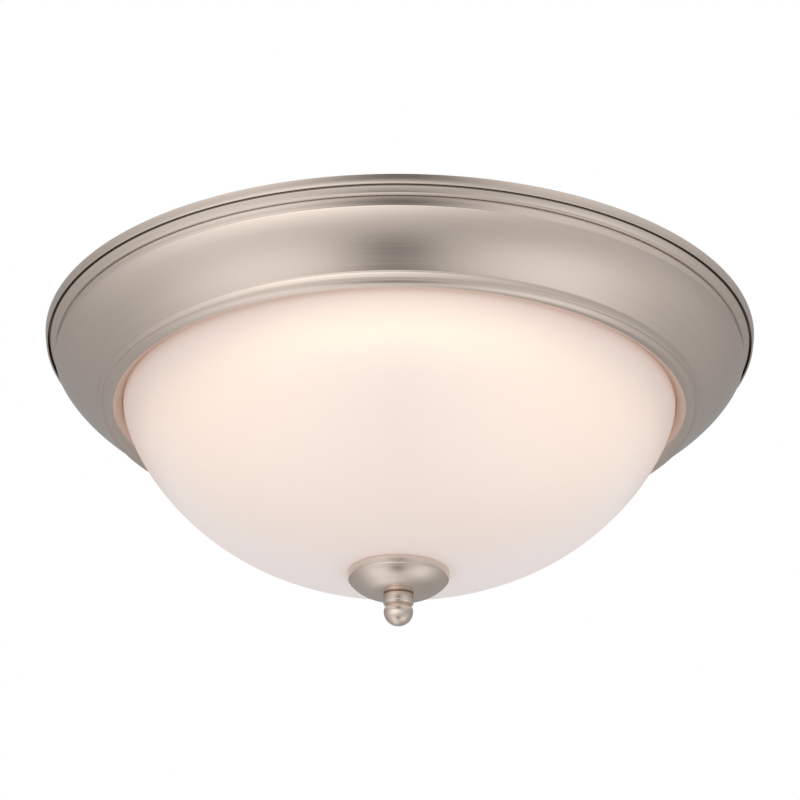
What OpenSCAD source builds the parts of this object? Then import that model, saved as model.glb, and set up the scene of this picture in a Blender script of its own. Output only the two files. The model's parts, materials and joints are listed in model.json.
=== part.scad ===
// Flush ceiling light with two lamps: a stamped metal pan, an opal glass bowl, and a cap
// and knob on a central rod. Millimetres, +Z up. The origin is the centre of the fixture
// on the plane of the ceiling, and everything below the ceiling has a negative z.

/* [Pan] */
// Outer diameter of the pan, at the ceiling
pan_d = 330; // [322:1:345]
// Thickness of the pan's sheet
sheet_t = 0.9; // [0.7:0.1:1.1]
// Drop of the turned-down lip round the edge
lip_h = 3.7; // [3:0.1:5]
// How far the lip leans inwards over its drop
lip_lean = 0.6; // [0.3:0.1:1]
// Open recess between the lip and the band behind it
lip_gap = 1.3; // [1:0.1:2]
// Radial width of the plain band under the lip
band_w = 2; // [1.6:0.1:3]
// Height of the plain band
band_h = 2.6; // [2:0.05:3]
// Radial width of the upper rib
rib_w = 0.7; // [0.4:0.1:1.2]
// Height of the upper rib
rib_h = 1.5; // [1:0.1:2]
// How far the shoulder stands out from the lower rib
step_w = 0.2; // [0.1:0.1:0.6]
// Height of the lower rib
low_rib_h = 2.65; // [2.4:0.05:2.8]
// Height of the lower rib and its step together
step_h = 3.75; // [3:0.05:4]
// Height of the curved body between the step and the bead
body_h = 18.8; // [18:0.2:22]
// How far the shoulder's curve pulls inwards
shoulder_in = 2.7; // [1:0.1:5]
// How far the shoulder's curve pulls downwards
shoulder_drop = 5.2; // [3:0.1:7]
// Depth of the cove behind the bead
cove_in = 8; // [6:0.25:9]
// How far above the bead's top the cove ends
cove_rise = 4.1; // [3:0.1:5]
// How far the cove's curve pulls from its end, outwards and upwards
cove_pull = [9.2, 6.1];
// Radial width of the bead at the bottom
bead_w = 1.6; // [1.2:0.1:2.2]
// Height of the bead
bead_h = 3.15; // [2.6:0.05:3.6]
// Radial width of the rolled edge round the glass
roll_w = 9.75; // [8:0.25:10]
// Rise of the rolled edge towards the glass
roll_rise = 1.3; // [1:0.1:1.8]
// Rise from the rolled edge to the seat over the glass
seat_rise = 3.5; // [3:0.1:4.5]
// Radial width of the seat
seat_w = 10.8; // [8:0.2:13]
// Rise from the seat to the flat plate
plate_rise = 6.7; // [5.5:0.1:7.5]
// Distance of a hanging screw from the middle of the slot beside it
key_in = 14.45; // [12.45:0.25:16.95]
// Turn that frees the pan from its screws, in degrees
key_turn = 12; // [11:0.5:14]

/* [Glass bowl] */
// Outer diameter of the bowl at its edge
bowl_d = 254.8; // [250:0.4:260]
// Thickness of the glass
bowl_t = 4; // [3:0.25:4.5]
// Height of the straight edge
bowl_edge = 3; // [2:0.1:4]
// Depth of the curved part
bowl_h = 77.6; // [75:0.2:84]
// Power of the curve at the side: lower is squarer
side_power = 0.82; // [0.78:0.01:0.86]
// Power of the curve at the base: higher is flatter
base_power = 1.46; // [1.3:0.02:1.6]
// Diameter of the hole for the rod
bowl_hole_d = 13; // [12:0.25:15]
// Radial gap between the glass and the rolled edge
bowl_gap = 0.6; // [0.4:0.1:0.8]
// Gap between the glass and its seat
seat_gap = 0.3; // [0.2:0.05:0.4]
// Thickness of the grommet's flange
grommet_flange = 1.2; // [0.8:0.1:2]
// Width of the grommet's flange
grommet_rim = 3; // [2:0.25:4]
// Gap between the grommet and what it touches
grommet_gap = 0.1; // [0.05:0.05:0.2]

/* [Rod, cap and knob] */
// Diameter of the central rod
rod_d = 6.35; // [6:0.05:6.6]
// Radial running clearance in a threaded bore
thread_gap = 0.05; // [0.03:0.01:0.08]
// Radial clearance of the rod in plain holes
rod_gap = 0.3; // [0.2:0.05:0.5]
// Length of rod that stands above its top nut
rod_tail = 2.1; // [1.5:0.1:3]
// Length of rod inside the knob
rod_grip = 7.6; // [7:0.1:7.8]
// Height of the rod's nuts
nut_h = 4; // [3:0.25:4.5]
// Width of the rod's nuts across their flats
nut_af = 11.1; // [10:0.1:12]
// Thickness of the spring washer
washer_t = 1; // [0.8:0.1:1.2]
// Diameter of the spring washer
washer_d = 12; // [11:0.5:13]
// Diameter of the cap
cap_d = 45.9; // [42:0.1:50]
// Thickness of the cap's sheet
cap_t = 1; // [0.8:0.1:1.2]
// Height of the cap's rim band
cap_rim_h = 3.7; // [3:0.1:4.5]
// How far the rim band leans inwards
cap_lean = 0.35; // [0.2:0.05:0.6]
// Whole height of the cap
cap_h = 10.6; // [9.5:0.1:12]
// How far the cap's dish bulges beyond a straight cone
cap_bulge = 1.5; // [1:0.1:2]
// Diameter of the flat under the knob
cap_flat_d = 15; // [14.5:0.25:17]
// Gap between the cap's rim and the glass
cap_gap = 0.2; // [0.15:0.05:0.4]
// Diameter of the knob's collar
collar_d = 13.56; // [13:0.02:14.4]
// Height of the knob's collar
collar_h = 6.1; // [5.5:0.1:7]
// Depth of the groove under the collar
groove_in = 0.75; // [0.5:0.05:1]
// Diameter of the knob's rounded end
bullet_d = 13.1; // [12.5:0.1:13.4]
// Height of the rounded end, from its widest place
bullet_h = 6; // [5:0.1:7]
// Distance from the groove to the widest place
bullet_top = 2.3; // [1.8:0.1:2.8]
// Depth of the knob's bore
knob_bore = 8.6; // [8:0.1:9]
// Gap between the knob and the cap
knob_gap = 0.05; // [0.03:0.01:0.1]

/* [Sockets] */
// Distance from the centre to each socket's back face, along the socket
socket_back = 25; // [24:0.5:27]
// Space between the rod and each socket
socket_space = 10.8; // [9.5:0.1:12]
// Length of a socket
socket_len = 37; // [35:0.5:38]
// Diameter of a socket's body
socket_d = 37; // [35:0.5:38]
// Diameter of the ring round a socket's mouth
socket_lip_d = 40; // [39:0.25:42]
// Length of the ring round the mouth
socket_lip = 4; // [3:0.25:5]
// Thickness of a socket's back wall
socket_floor = 7; // [6:0.25:8]
// Wall of a socket's screw shell, at its thinnest
shell_t = 0.35; // [0.25:0.05:0.5]
// Gap round the screw shell
shell_gap = 0.1; // [0.05:0.05:0.2]
// Length of the screw shell
shell_len = 27; // [25:0.5:27.5]
// Thickness of the spring contact in a socket
tab_t = 0.6; // [0.4:0.1:0.8]
// Width of the spring contact
tab_w = 6; // [4:0.5:8]
// Gap at the end of a screw or a lead in the ceramic
end_gap = 0.2; // [0.1:0.05:0.3]

/* [Bulbs] */
// Diameter of a bulb's dome
bulb_d = 58; // [55:0.5:59]
// Distance from a bulb's contact to the centre of its dome
bulb_mid = 69.1; // [67:0.1:71]
// Wall of a bulb's dome and housing
bulb_t = 1.3; // [1:0.1:1.6]
// Length of dome below its centre
dome_skirt = 15; // [13:0.5:17]
// Mean diameter of the screw base
base_d = 25.5; // [25.3:0.1:25.7]
// Depth of the base's thread, crest to root
thread_h = 0.64; // [0.5:0.02:0.8]
// Pitch of the base's thread
thread_pitch = 3.63; // [3.4:0.01:3.8]
// Turns of thread on the base
thread_turns = 5; // [4:1:5]
// Gap between the base and the screw shell
base_gap = 0.2; // [0.15:0.05:0.25]
// Wall of the screw base
base_t = 0.4; // [0.3:0.05:0.5]
// Height of the contact button
button_h = 0.7; // [0.5:0.1:1]
// Diameter of the contact button
button_d = 9.2; // [8:0.2:10]
// Height of the black insulator
insulator_h = 2.4; // [2:0.1:3]
// Width of the insulator's rim round the button
insulator_rim = 0.5; // [0.3:0.1:1]
// Height of the base's collar above its thread
base_lip = 0.5; // [0.3:0.1:0.8]
// Gap between the button and the spring contact
contact_gap = 0.3; // [0.2:0.05:0.4]
// How far the housing's side is hollowed
housing_sag = 2; // [1:0.25:3]
// Thickness of the board that carries the light source
board_t = 1.6; // [1:0.2:2]
// Gap between the bulbs and the pan's plate
bulb_clear = 6; // [5:0.25:7]

/* [Strap and screws] */
// Metal left beyond each slot of the strap
strap_end = 3.5; // [3:0.25:6]
// Width of the strap
strap_w = 20; // [18:0.5:24]
// Thickness of the strap
strap_t = 1.8; // [1.4:0.1:2.2]
// Distance between the slots for the box screws
box_span = 88.9; // [86:0.1:90]
// Whole length of a slot
slot_l = 16; // [12:0.5:16]
// Width of a slot
slot_w = 4.8; // [4.4:0.1:5.2]
// Diameter of the strap's middle hole
strap_hole_d = 10.4; // [9:0.2:12]
// Diameter of a hanging screw
hang_d = 4.1; // [3.8:0.1:4.3]
// How far a screw stands out past its tapped hole
hang_tip = 2; // [1:0.25:3]
// Diameter of a screw head
head_d = 8; // [7.4:0.1:8.4]
// Height of a screw head
head_h = 2.4; // [2:0.1:2.8]
// Width of the slot in a screw head
drive_w = 1; // [0.8:0.1:1.2]
// Radial clearance of a screw, a lead or a bushing in its hole
hole_gap = 0.3; // [0.2:0.05:0.4]
// Gap between a hanging screw's head and the pan
head_gap = 0.1; // [0.05:0.05:0.2]
// Gap on each side of a screw in its keyhole
key_gap = 0.3; // [0.2:0.05:0.5]
// Distance of the earth screw from the middle of the strap
earth_x = 16; // [15:0.5:18]
// Diameter of the earth screw
earth_d = 4.8; // [4.4:0.1:5]
// Thickness of the earth screw's head
earth_head_h = 2.2; // [1.8:0.1:2.4]
// Width of the earth screw's head across its flats
earth_af = 8; // [7.5:0.25:9]

/* [Lamp bracket] */
// Thickness of the lamp bracket
arm_t = 1.2; // [1:0.1:1.6]
// Width of the lamp bracket
arm_w = 16; // [14:0.5:18]
// How far the bracket's tabs reach below a socket's axis
tab_drop = 8; // [6:0.5:10]
// Diameter of the screw that holds a socket
mount_screw_d = 3.5; // [3:0.1:4]
// How far that screw goes into the socket
mount_screw_in = 5; // [4:0.25:5.5]

/* [Wiring] */
// Diameter of an insulated lead
lead_d = 2.2; // [2:0.1:2.4]
// Diameter of the bare earth lead
bare_d = 1.6; // [1.4:0.1:1.8]
// Distance of the leads' holes from the socket's axis, towards the rod
lead_in = 11; // [10:0.25:12]
// Half the distance between a socket's two leads
lead_apart = 4; // [3:0.25:5]
// Depth of the leads in the socket
lead_deep = 3; // [2:0.25:4]
// Length of a lead inside its wire nut
lead_grip = 8; // [6:0.5:9]
// Gap between leads that lie together, and under the wire nuts
lead_gap = 0.2; // [0.15:0.05:0.3]
// Straight stub of a lead behind its socket and under its bushing
lead_stub = 2; // [1:0.25:3]
// Reach of the leads' bends behind the socket
lead_bend = 13; // [12:0.5:14]
// How much wider the lower lead bends than that, and the upper one narrower
lead_nest = 3; // [2.5:0.25:3.5]
// Reach of the leads' bends under the bushing
rise_bend = 18; // [16:0.5:20]
// Half the distance between the leads in a bushing
lead_spread = 1.6; // [1.5:0.05:1.8]
// Reach of the bend into the near wire nut
near_bend = 20; // [18:0.5:22]
// Reach of the bend into the far wire nut
far_bend = 42; // [40:0.5:44]
// Pull of the leads' bends above the ceiling's plane on their way to the far nut
far_arch = 2; // [1.5:0.25:2.5]
// Distance of the pan's earth screw from the far end of its wire's nut
earth_reach = 22; // [20:0.5:24]
// Reach of the earth lead's bends, at the screw and at the nut
earth_bends = [6, 16];
// Distance of a bushing from the centre, along the sockets
bushing_u = 30; // [28:0.5:32]
// Distance of a bushing from the centre, across the sockets
bushing_v = 14; // [13:0.5:15]
// Diameter of a bushing's bore
bushing_bore = 7.6; // [7:0.1:8]
// Wall of a bushing in its hole
bushing_t = 1.5; // [1:0.1:1.8]
// Thickness and width of a bushing's flanges
bushing_rim = 1.4; // [1:0.1:2]
// Diameter of a wire nut at its mouth
wire_nut_d = 11; // [10:0.25:12]
// Diameter of a wire nut at its closed end
wire_nut_end_d = 7; // [6:0.25:8]
// Length of a wire nut
wire_nut_l = 18; // [16:0.5:19]
// Diameter of a wire nut's bore
wire_nut_bore = 6.4; // [5.6:0.1:6.6]
// Depth of a wire nut's bore
wire_nut_deep = 13; // [10:0.5:14]
// Distance of the wire nuts from the centre, across the sockets
wire_nut_v = 24; // [23:0.5:26]
// Distance of the earth nut from the centre, across the sockets
earth_nut_v = 40; // [39:0.5:42]
// Inner diameter of the insulation pad
pad_in_d = 124; // [120:1:130]
// Gap between the insulation pad and the pan's wall
pad_gap = 5; // [3:0.5:8]
// Thickness of the insulation pad
pad_t = 12; // [8:0.5:14]

/* [Hidden] */
$fn = 96;

// Straight steps along a long curve, a small curve and a lead
fine = 20;
coarse = 6;
lead_steps = 12;
// How far a cutting shape reaches past the face that it cuts
cut = 1;
// Bulge of a rounded strip as a part of its width: deep, shallow and nearly flat
deep = 1 / 3;
shallow = 1 / 6;
slight = 1 / 8;

// The strap follows the box screws: its length, and the circle of its hanging screws
strap_l = box_span + slot_l + 2 * strap_end;
key_r = box_span / 2 - key_in;

// Radii and levels of the pan, from its lip down to its rolled edge and up to its plate
pan_r = pan_d / 2;
bowl_r = bowl_d / 2;
lip_foot_r = pan_r - lip_lean;
neck_r = lip_foot_r - sheet_t - lip_gap;
band_r = neck_r - band_w;
rib_r = band_r - rib_w;
shoulder_r = rib_r + step_w;
band_z = -lip_h - band_h;
rib_z = band_z - rib_h;
shoulder_z = rib_z - step_h;
bead_z = shoulder_z - body_h;
groove_z = bead_z - bead_h;
roll_z = groove_z + roll_rise;
seat_z = roll_z + seat_rise;
plate_z = seat_z + plate_rise;
plate_top = plate_z + sheet_t;
roll_r = bowl_r + bowl_gap;
groove_r = roll_r + roll_w;
bead_r = groove_r + bead_w;
plate_r = roll_r - seat_w;

// Levels of the bowl, the cap and the knob
edge_z = seat_z - seat_gap;
curve_z = edge_z - bowl_edge;
rod_r = rod_d / 2;
cap_r = cap_d / 2;
cap_top = bowl_level(cap_r) - cap_gap;
cap_base = cap_top - cap_h;
knob_top = cap_base - knob_gap;
rod_end = knob_top - rod_grip;
rod_start = plate_top + washer_t + nut_h + rod_tail;

// Places of the lamps, in a frame turned so that both domes lie on the X axis
bulb_r = bulb_d / 2;
lamp_v = rod_r + socket_space + socket_lip_d / 2;
lamp_z = plate_z - bulb_clear - bulb_r;
button_s = socket_floor + tab_t + contact_gap;
insulator_s = button_s + button_h;
base_s = insulator_s + insulator_h;
collar_s = base_s + thread_turns * thread_pitch;
mouth_s = socket_len + contact_gap;
dome_s = button_s + bulb_mid;
dome_foot_s = dome_s - dome_skirt;
dome_foot_r = sqrt(bulb_r * bulb_r - dome_skirt * dome_skirt);
lamp_u = dome_s - socket_back;
lamp_turn = -atan2(lamp_v, lamp_u);

// Radii of the thread, from the bulb's base outwards
base_r = base_d / 2;
shell_r = base_r + base_gap;
shell_out_r = shell_r + thread_h / 2 + shell_t;
socket_bore_r = shell_out_r + shell_gap;

// Wiring inside the pan
bushing_r = bushing_bore / 2 + bushing_t;
wire_nut_z = plate_top + wire_nut_d / 2 + lead_gap;
wire_nut_u = wire_nut_l * 2 / 3;
pair = lead_d / 2 + lead_gap;
earth_screw_u = wire_nut_u + earth_reach;
eyelet_r = head_d / 2 + bare_d;

// Points of a round arc from p to q, which bulges by sag to the left of the way
function arc(p, q, sag, n) =
    let (d = q - p, c = norm(d), half = 2 * atan(2 * sag / c), r = c / (2 * sin(half)),
         u = d / c, v = [-u[1], u[0]])
    [for (i = [0 : n]) let (t = half * (2 * i / n - 1))
        p + u * (c / 2 + r * sin(t)) + v * r * (cos(t) - cos(half))];

// Points of a cubic curve with the four control points in p
function curve(p, n) =
    [for (i = [0 : n]) let (t = i / n, s = 1 - t)
        s * s * s * p[0] + 3 * s * s * t * p[1] + 3 * s * t * t * p[2] + t * t * t * p[3]];

// A path without its first point, to join it to the one before
function rest(p) = [for (i = [1 : len(p) - 1]) p[i]];

function reversed(p) = [for (i = [len(p) - 1 : -1 : 0]) p[i]];

// The bowl's curve at the angle a, drawn in by the inset
function bowl_point(a, inset) =
    [(bowl_r - inset) * pow(cos(a), side_power),
     curve_z - (bowl_h - inset) * pow(sin(a), base_power)];

// The angle at which that curve reaches the radius r
function bowl_angle(r, inset) = acos(pow(r / (bowl_r - inset), 1 / side_power));

// The height of the bowl's outer surface at the radius r
function bowl_level(r) = bowl_point(bowl_angle(r, 0), 0)[1];

function bowl_side(inset) =
    let (last = bowl_angle(bowl_hole_d / 2, inset))
    [for (i = [0 : fine + coarse]) bowl_point(last * i / (fine + coarse), inset)];

// A thread's outline of flat crests and roots about the radius r, a quarter of a turn at a time
function thread(r, start, turns) =
    [for (i = [0 : 4 * turns])
        [r + (i % 4 == 0 || i % 4 == 3 ? thread_h : -thread_h) / 2, start + thread_pitch * i / 4]];

// The part of n that is square to the direction t
function square_to(n, t) = let (m = n - (n * t) * t) m / norm(m);

function directions(p) =
    [for (i = [0 : len(p) - 1])
        let (d = p[min(i + 1, len(p) - 1)] - p[max(i - 1, 0)]) d / norm(d)];

// A flat path moved sideways by d, to the left of the way
function shifted(p, d) =
    let (u = directions(p)) [for (i = [0 : len(p) - 1]) p[i] + d * [-u[i][1], u[i][0]]];

function normals(d, n, i = 0) =
    i == len(d) ? [] : let (m = square_to(n, d[i])) concat([m], normals(d, m, i + 1));

// A round wire of radius r along the path, whose sides start at a slant that no path follows
module wire(path, r, sides = 8) {
    slant = [0.3, 0.9, 0.2];
    d = directions(path);
    n = normals(d, slant);
    last = len(path) - 1;
    polyhedron(
        points = [for (i = [0 : last]) for (k = [0 : sides - 1])
            path[i] + r * (n[i] * cos(360 * k / sides) + cross(d[i], n[i]) * sin(360 * k / sides))],
        faces = concat(
            [[for (k = [0 : sides - 1]) k]],
            [[for (k = [sides - 1 : -1 : 0]) last * sides + k]],
            [for (i = [0 : last - 1]) for (k = [0 : sides - 1])
                [i * sides + k, (i + 1) * sides + k,
                 (i + 1) * sides + (k + 1) % sides, i * sides + (k + 1) % sides]]));
}

// Copies at the two lamps: 0 is the right one and 1 the left one
module lamp_frame(i) {
    rotate([0, 0, lamp_turn + 180 * i]) children();
}

// A socket's own frame: z runs from the socket's back face out along the bulb
module socket_frame(i) {
    lamp_frame(i) translate([-socket_back, lamp_v, lamp_z]) rotate([0, 90, 0]) children();
}

module ring(r_in, r_out, h) {
    difference() {
        cylinder(r = r_out, h = h);
        translate([0, 0, -cut]) cylinder(r = r_in, h = h + 2 * cut);
    }
}

module hex_nut() {
    difference() {
        cylinder(d = nut_af / cos(30), h = nut_h, $fn = 6);
        translate([0, 0, -cut]) cylinder(r = rod_r + thread_gap, h = nut_h + 2 * cut);
    }
}

// A domed, slotted screw head with its flat face at z = 0 and its top at -head_h
module screw_head() {
    difference() {
        rotate_extrude()
            polygon(concat([[0, 0]], arc([head_d / 2, 0], [0, -head_h], head_d / 10, coarse)));
        translate([-head_d, -drive_w / 2, -head_h - cut]) cube([2 * head_d, drive_w, cut + head_h / 2]);
    }
}

module mounting_strap() {
    straight = strap_l - strap_w;
    color("lightgray") difference() {
        translate([0, 0, -strap_t]) union() {
            translate([-straight / 2, -strap_w / 2, 0]) cube([straight, strap_w, strap_t]);
            for (s = [-1, 1]) translate([s * straight / 2, 0, 0]) cylinder(d = strap_w, h = strap_t);
        }
        translate([0, 0, -strap_t - cut]) {
            cylinder(d = strap_hole_d, h = strap_t + 2 * cut);
            translate([earth_x, 0, 0]) cylinder(r = earth_d / 2 + thread_gap, h = strap_t + 2 * cut);
            for (s = [-1, 1]) {
                translate([s * key_r, 0, 0]) cylinder(r = hang_d / 2 + thread_gap, h = strap_t + 2 * cut);
                translate([s * box_span / 2, 0, 0]) slot();
            }
        }
    }
}

module slot() {
    reach = (slot_l - slot_w) / 2;
    translate([-reach, -slot_w / 2, 0]) cube([2 * reach, slot_w, strap_t + 2 * cut]);
    for (s = [-1, 1]) translate([s * reach, 0, 0]) cylinder(d = slot_w, h = strap_t + 2 * cut);
}

module hanging_screws() {
    foot = plate_z - head_gap;
    color("silver") for (s = [-1, 1]) translate([s * key_r, 0, foot]) {
        cylinder(d = hang_d, h = hang_tip - foot);
        screw_head();
    }
}

module earth_screw() {
    color("seagreen") translate([earth_x, 0, -strap_t]) {
        cylinder(d = earth_d, h = strap_t + hang_tip);
        translate([0, 0, -earth_head_h]) cylinder(d = earth_af / cos(30), h = earth_head_h, $fn = 6);
    }
}

// The pan's curved body: a round shoulder, then a cove that sweeps in behind the bead
function body_curve() =
    let (end = [bead_r - cove_in, bead_z + cove_rise])
    curve([[shoulder_r, shoulder_z], [shoulder_r - shoulder_in, shoulder_z - shoulder_drop],
           end + cove_pull, end], fine);

// The pan's visible side, from the ceiling over the lip, ribs, body and bead to the plate's middle
function pan_face() = concat(
    [[pan_r, 0]],
    arc([lip_foot_r, -lip_h], [lip_foot_r - sheet_t, -lip_h], sheet_t * deep, coarse),
    [[lip_foot_r - sheet_t, -sheet_t], [neck_r, -sheet_t]],
    arc([neck_r + lip_lean, -lip_h], [band_r, band_z], band_h * shallow, coarse),
    rest(arc([band_r, band_z], [rib_r, rib_z], rib_h * shallow, coarse)),
    rest(arc([rib_r, rib_z], [rib_r, rib_z - low_rib_h], low_rib_h * shallow / 2, coarse)),
    body_curve(),
    arc([bead_r, bead_z], [groove_r, groove_z], bead_h * deep, coarse),
    rest(arc([groove_r, groove_z], [roll_r, roll_z], roll_w * slight, coarse)),
    [[roll_r, seat_z], [plate_r, seat_z], [plate_r - sheet_t / 2, plate_z], [0, plate_z]]);

// The pan's hidden side, from the plate's middle back out to the ceiling
function pan_back() = concat(
    [[0, plate_top], [plate_r + sheet_t / 2, plate_top], [plate_r + sheet_t, seat_z + sheet_t],
     [roll_r + sheet_t, seat_z + sheet_t]],
    arc([roll_r + sheet_t, roll_z + sheet_t], [groove_r - sheet_t / 2, groove_z + sheet_t],
        -roll_w * slight, coarse),
    [[bead_r - sheet_t / 2, groove_z + bead_h / 2], [bead_r - sheet_t, bead_z - sheet_t / 2],
     [bead_r - cove_in - sheet_t / 2, bead_z + cove_rise - sheet_t]],
    reversed(shifted(body_curve(), -sheet_t)),
    [[rib_r - sheet_t, rib_z], [band_r - sheet_t, band_z], [neck_r - sheet_t, -lip_h],
     [neck_r - sheet_t, 0]]);

// A shape that cuts the plate starts at plate_z - cut and is plate_cut high
plate_cut = sheet_t + 2 * cut;

module ceiling_pan() {
    color("silver") difference() {
        rotate_extrude() polygon(concat(pan_face(), pan_back()));
        translate([0, 0, plate_z - cut]) {
            cylinder(r = rod_r + rod_gap, h = plate_cut);
            for (i = [0, 1]) {
                rotate([0, 0, 180 * i]) keyhole();
                lamp_frame(i) translate([-bushing_u, bushing_v, 0])
                    cylinder(r = bushing_r, h = plate_cut);
            }
            lamp_frame(0) translate([earth_screw_u, -earth_nut_v, 0])
                cylinder(r = hang_d / 2 + thread_gap, h = plate_cut);
        }
    }
}

// A keyhole on the screws' circle: narrow where the screw stands at rest, wide after the turn
module keyhole() {
    half = hang_d / 2 + key_gap;
    rotate_extrude(angle = key_turn) translate([key_r - half, 0]) square([2 * half, plate_cut]);
    translate([key_r, 0, 0]) cylinder(r = half, h = plate_cut);
    rotate([0, 0, key_turn]) translate([key_r, 0, 0]) cylinder(r = head_d / 2 + key_gap, h = plate_cut);
}

module insulation_pad() {
    color("khaki") translate([0, 0, plate_top]) ring(pad_in_d / 2, plate_r - pad_gap, pad_t);
}

module center_rod() {
    color("lightgray") translate([0, 0, rod_end]) cylinder(r = rod_r, h = rod_start - rod_end);
}

module rod_top_nut() {
    color("gray") translate([0, 0, plate_top + washer_t]) hex_nut();
}

module rod_bottom_nut() {
    color("gray") translate([0, 0, plate_z - arm_t - nut_h]) hex_nut();
}

// A split ring: the cut leaves it open on one side
module rod_spring_washer() {
    color("dimgray") translate([0, 0, plate_top]) difference() {
        ring(rod_r + rod_gap, washer_d / 2, washer_t);
        translate([0, -washer_t / 2, -cut]) cube([washer_d, washer_t, washer_t + 2 * cut]);
    }
}

module lamp_bracket() {
    color("gainsboro") difference() {
        union() for (i = [0, 1]) lamp_frame(i) {
            translate([-arm_w / 2, 0, plate_z - arm_t]) cube([arm_w, lamp_v + arm_w / 2, arm_t]);
            translate([-socket_back - arm_t, lamp_v - arm_w / 2, plate_z - arm_t])
                cube([socket_back + arm_t, arm_w, arm_t]);
            translate([-socket_back - arm_t, lamp_v - arm_w / 2, lamp_z - tab_drop])
                cube([arm_t, arm_w, plate_z - lamp_z + tab_drop]);
        }
        translate([0, 0, plate_z - arm_t - cut]) cylinder(r = rod_r + rod_gap, h = arm_t + 2 * cut);
        for (i = [0, 1]) socket_frame(i) translate([0, 0, -arm_t - cut])
            cylinder(r = mount_screw_d / 2 + hole_gap, h = arm_t + 2 * cut);
    }
}

module socket_screws() {
    color("silver") for (i = [0, 1]) socket_frame(i) translate([0, 0, -arm_t]) {
        cylinder(d = mount_screw_d, h = arm_t + mount_screw_in);
        screw_head();
    }
}

// White ceramic body: deep bore, ring round the mouth, pockets for the leads and the screw
module socket(i) {
    color("ivory") socket_frame(i) difference() {
        union() {
            cylinder(d = socket_d, h = socket_len);
            translate([0, 0, socket_len - socket_lip]) cylinder(d = socket_lip_d, h = socket_lip);
        }
        translate([0, 0, socket_floor]) cylinder(r = socket_bore_r, h = socket_len);
        translate([0, 0, -cut])
            cylinder(r = mount_screw_d / 2 + thread_gap, h = mount_screw_in + cut + end_gap);
        for (s = [-1, 1]) translate([s * lead_apart, -lead_in, -cut])
            cylinder(r = lead_d / 2 + hole_gap, h = lead_deep + cut + end_gap);
    }
}

// Threaded metal sleeve that lines the socket, closed by a flange on the socket's floor
module screw_shell(i) {
    top = socket_floor + shell_len;
    inner = thread(shell_r, base_s, thread_turns);
    color("goldenrod") socket_frame(i) rotate_extrude()
        polygon(concat(
            [[shell_out_r, top], [shell_out_r, socket_floor], [tab_w, socket_floor],
             [tab_w, socket_floor + shell_t], [base_r - thread_h - base_t, socket_floor + shell_t]],
            inner,
            [[shell_r + thread_h / 2, top]]));
}

module spring_contact(i) {
    color("gold") socket_frame(i) translate([-tab_w / 2, -tab_w / 3, socket_floor])
        cube([tab_w, tab_w * 2 / 3, tab_t]);
}

module wire_bushings() {
    color("dimgray") for (i = [0, 1]) lamp_frame(i) translate([-bushing_u, bushing_v, 0]) difference() {
        union() {
            translate([0, 0, plate_z - bushing_rim])
                cylinder(r = bushing_r - hole_gap / 2, h = sheet_t + 2 * bushing_rim);
            for (z = [plate_z - bushing_rim, plate_top]) translate([0, 0, z])
                cylinder(r = bushing_r + bushing_rim, h = bushing_rim);
        }
        translate([0, 0, plate_z - bushing_rim - cut])
            cylinder(d = bushing_bore, h = plate_cut + 2 * bushing_rim);
    }
}

// A lead's place in its bushing: side is +1 for the upper lead of a socket, -1 for the lower
function in_bushing(side, z) = [-bushing_u + side * lead_spread, bushing_v, z];

// From the socket's back up to the bushing: the lower lead makes the wider bend
function rise(side) =
    let (back = [-socket_back, lamp_v - lead_in, lamp_z + side * lead_apart])
    concat(
        [back + [lead_deep, 0, 0]],
        curve([back - [lead_stub, 0, 0], back - [lead_bend - lead_nest * side, 0, 0],
               in_bushing(side, plate_z - rise_bend), in_bushing(side, plate_z - lead_stub)],
              lead_steps));

// On from the bushing to the near nut, which opens towards it
function near_run(side) =
    let (end = [lead_grip - wire_nut_u, wire_nut_v + side * pair, wire_nut_z])
    curve([in_bushing(side, plate_top + bushing_rim), in_bushing(side, wire_nut_z + bushing_rim),
           end - [near_bend, 0, 0], end], lead_steps);

// On from the bushing over the rod to the far nut, which opens away from it
function far_run(side) =
    let (end = [wire_nut_u - lead_grip, side * pair - wire_nut_v, wire_nut_z])
    curve([in_bushing(side, plate_top + bushing_rim), [-bushing_u, 0, far_arch],
           end + [far_bend, 0, far_arch], end], 2 * lead_steps);

module black_leads() {
    color("black") {
        lamp_frame(0) wire(concat(rise(1), near_run(1)), lead_d / 2);
        lamp_frame(1) wire(concat(rise(1), far_run(1)), lead_d / 2);
    }
}

module white_leads() {
    color("white") {
        lamp_frame(1) wire(concat(rise(-1), near_run(-1)), lead_d / 2);
        lamp_frame(0) wire(concat(rise(-1), far_run(-1)), lead_d / 2);
    }
}

// A moulded cap with a blind bore: it lies along the sockets and opens towards -u
module wire_nut(v) {
    translate([-wire_nut_u, v, wire_nut_z]) rotate([0, 90, 0]) difference() {
        cylinder(d1 = wire_nut_d, d2 = wire_nut_end_d, h = wire_nut_l);
        translate([0, 0, -cut]) cylinder(d = wire_nut_bore, h = wire_nut_deep + cut);
    }
}

module black_wire_nut() {
    color("orange") lamp_frame(0) wire_nut(wire_nut_v);
}

module white_wire_nut() {
    color("gold") lamp_frame(1) wire_nut(wire_nut_v);
}

module earth_wire_nut() {
    color("green") lamp_frame(1) wire_nut(earth_nut_v);
}

// Bare wire with an eyelet under the head of the pan's own earth screw
module earth_lead() {
    start = [earth_screw_u - eyelet_r + bare_d / 2, -earth_nut_v, plate_top + bare_d / 2];
    end = [wire_nut_u - lead_grip, -earth_nut_v, wire_nut_z];
    color("peru") lamp_frame(0) union() {
        translate([earth_screw_u, -earth_nut_v, plate_top])
            ring(hang_d / 2 + hole_gap, eyelet_r, bare_d / 2);
        wire(curve([start, start - [earth_bends[0], 0, 0], end + [earth_bends[1], 0, 0], end],
                   lead_steps), bare_d / 2);
    }
}

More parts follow.
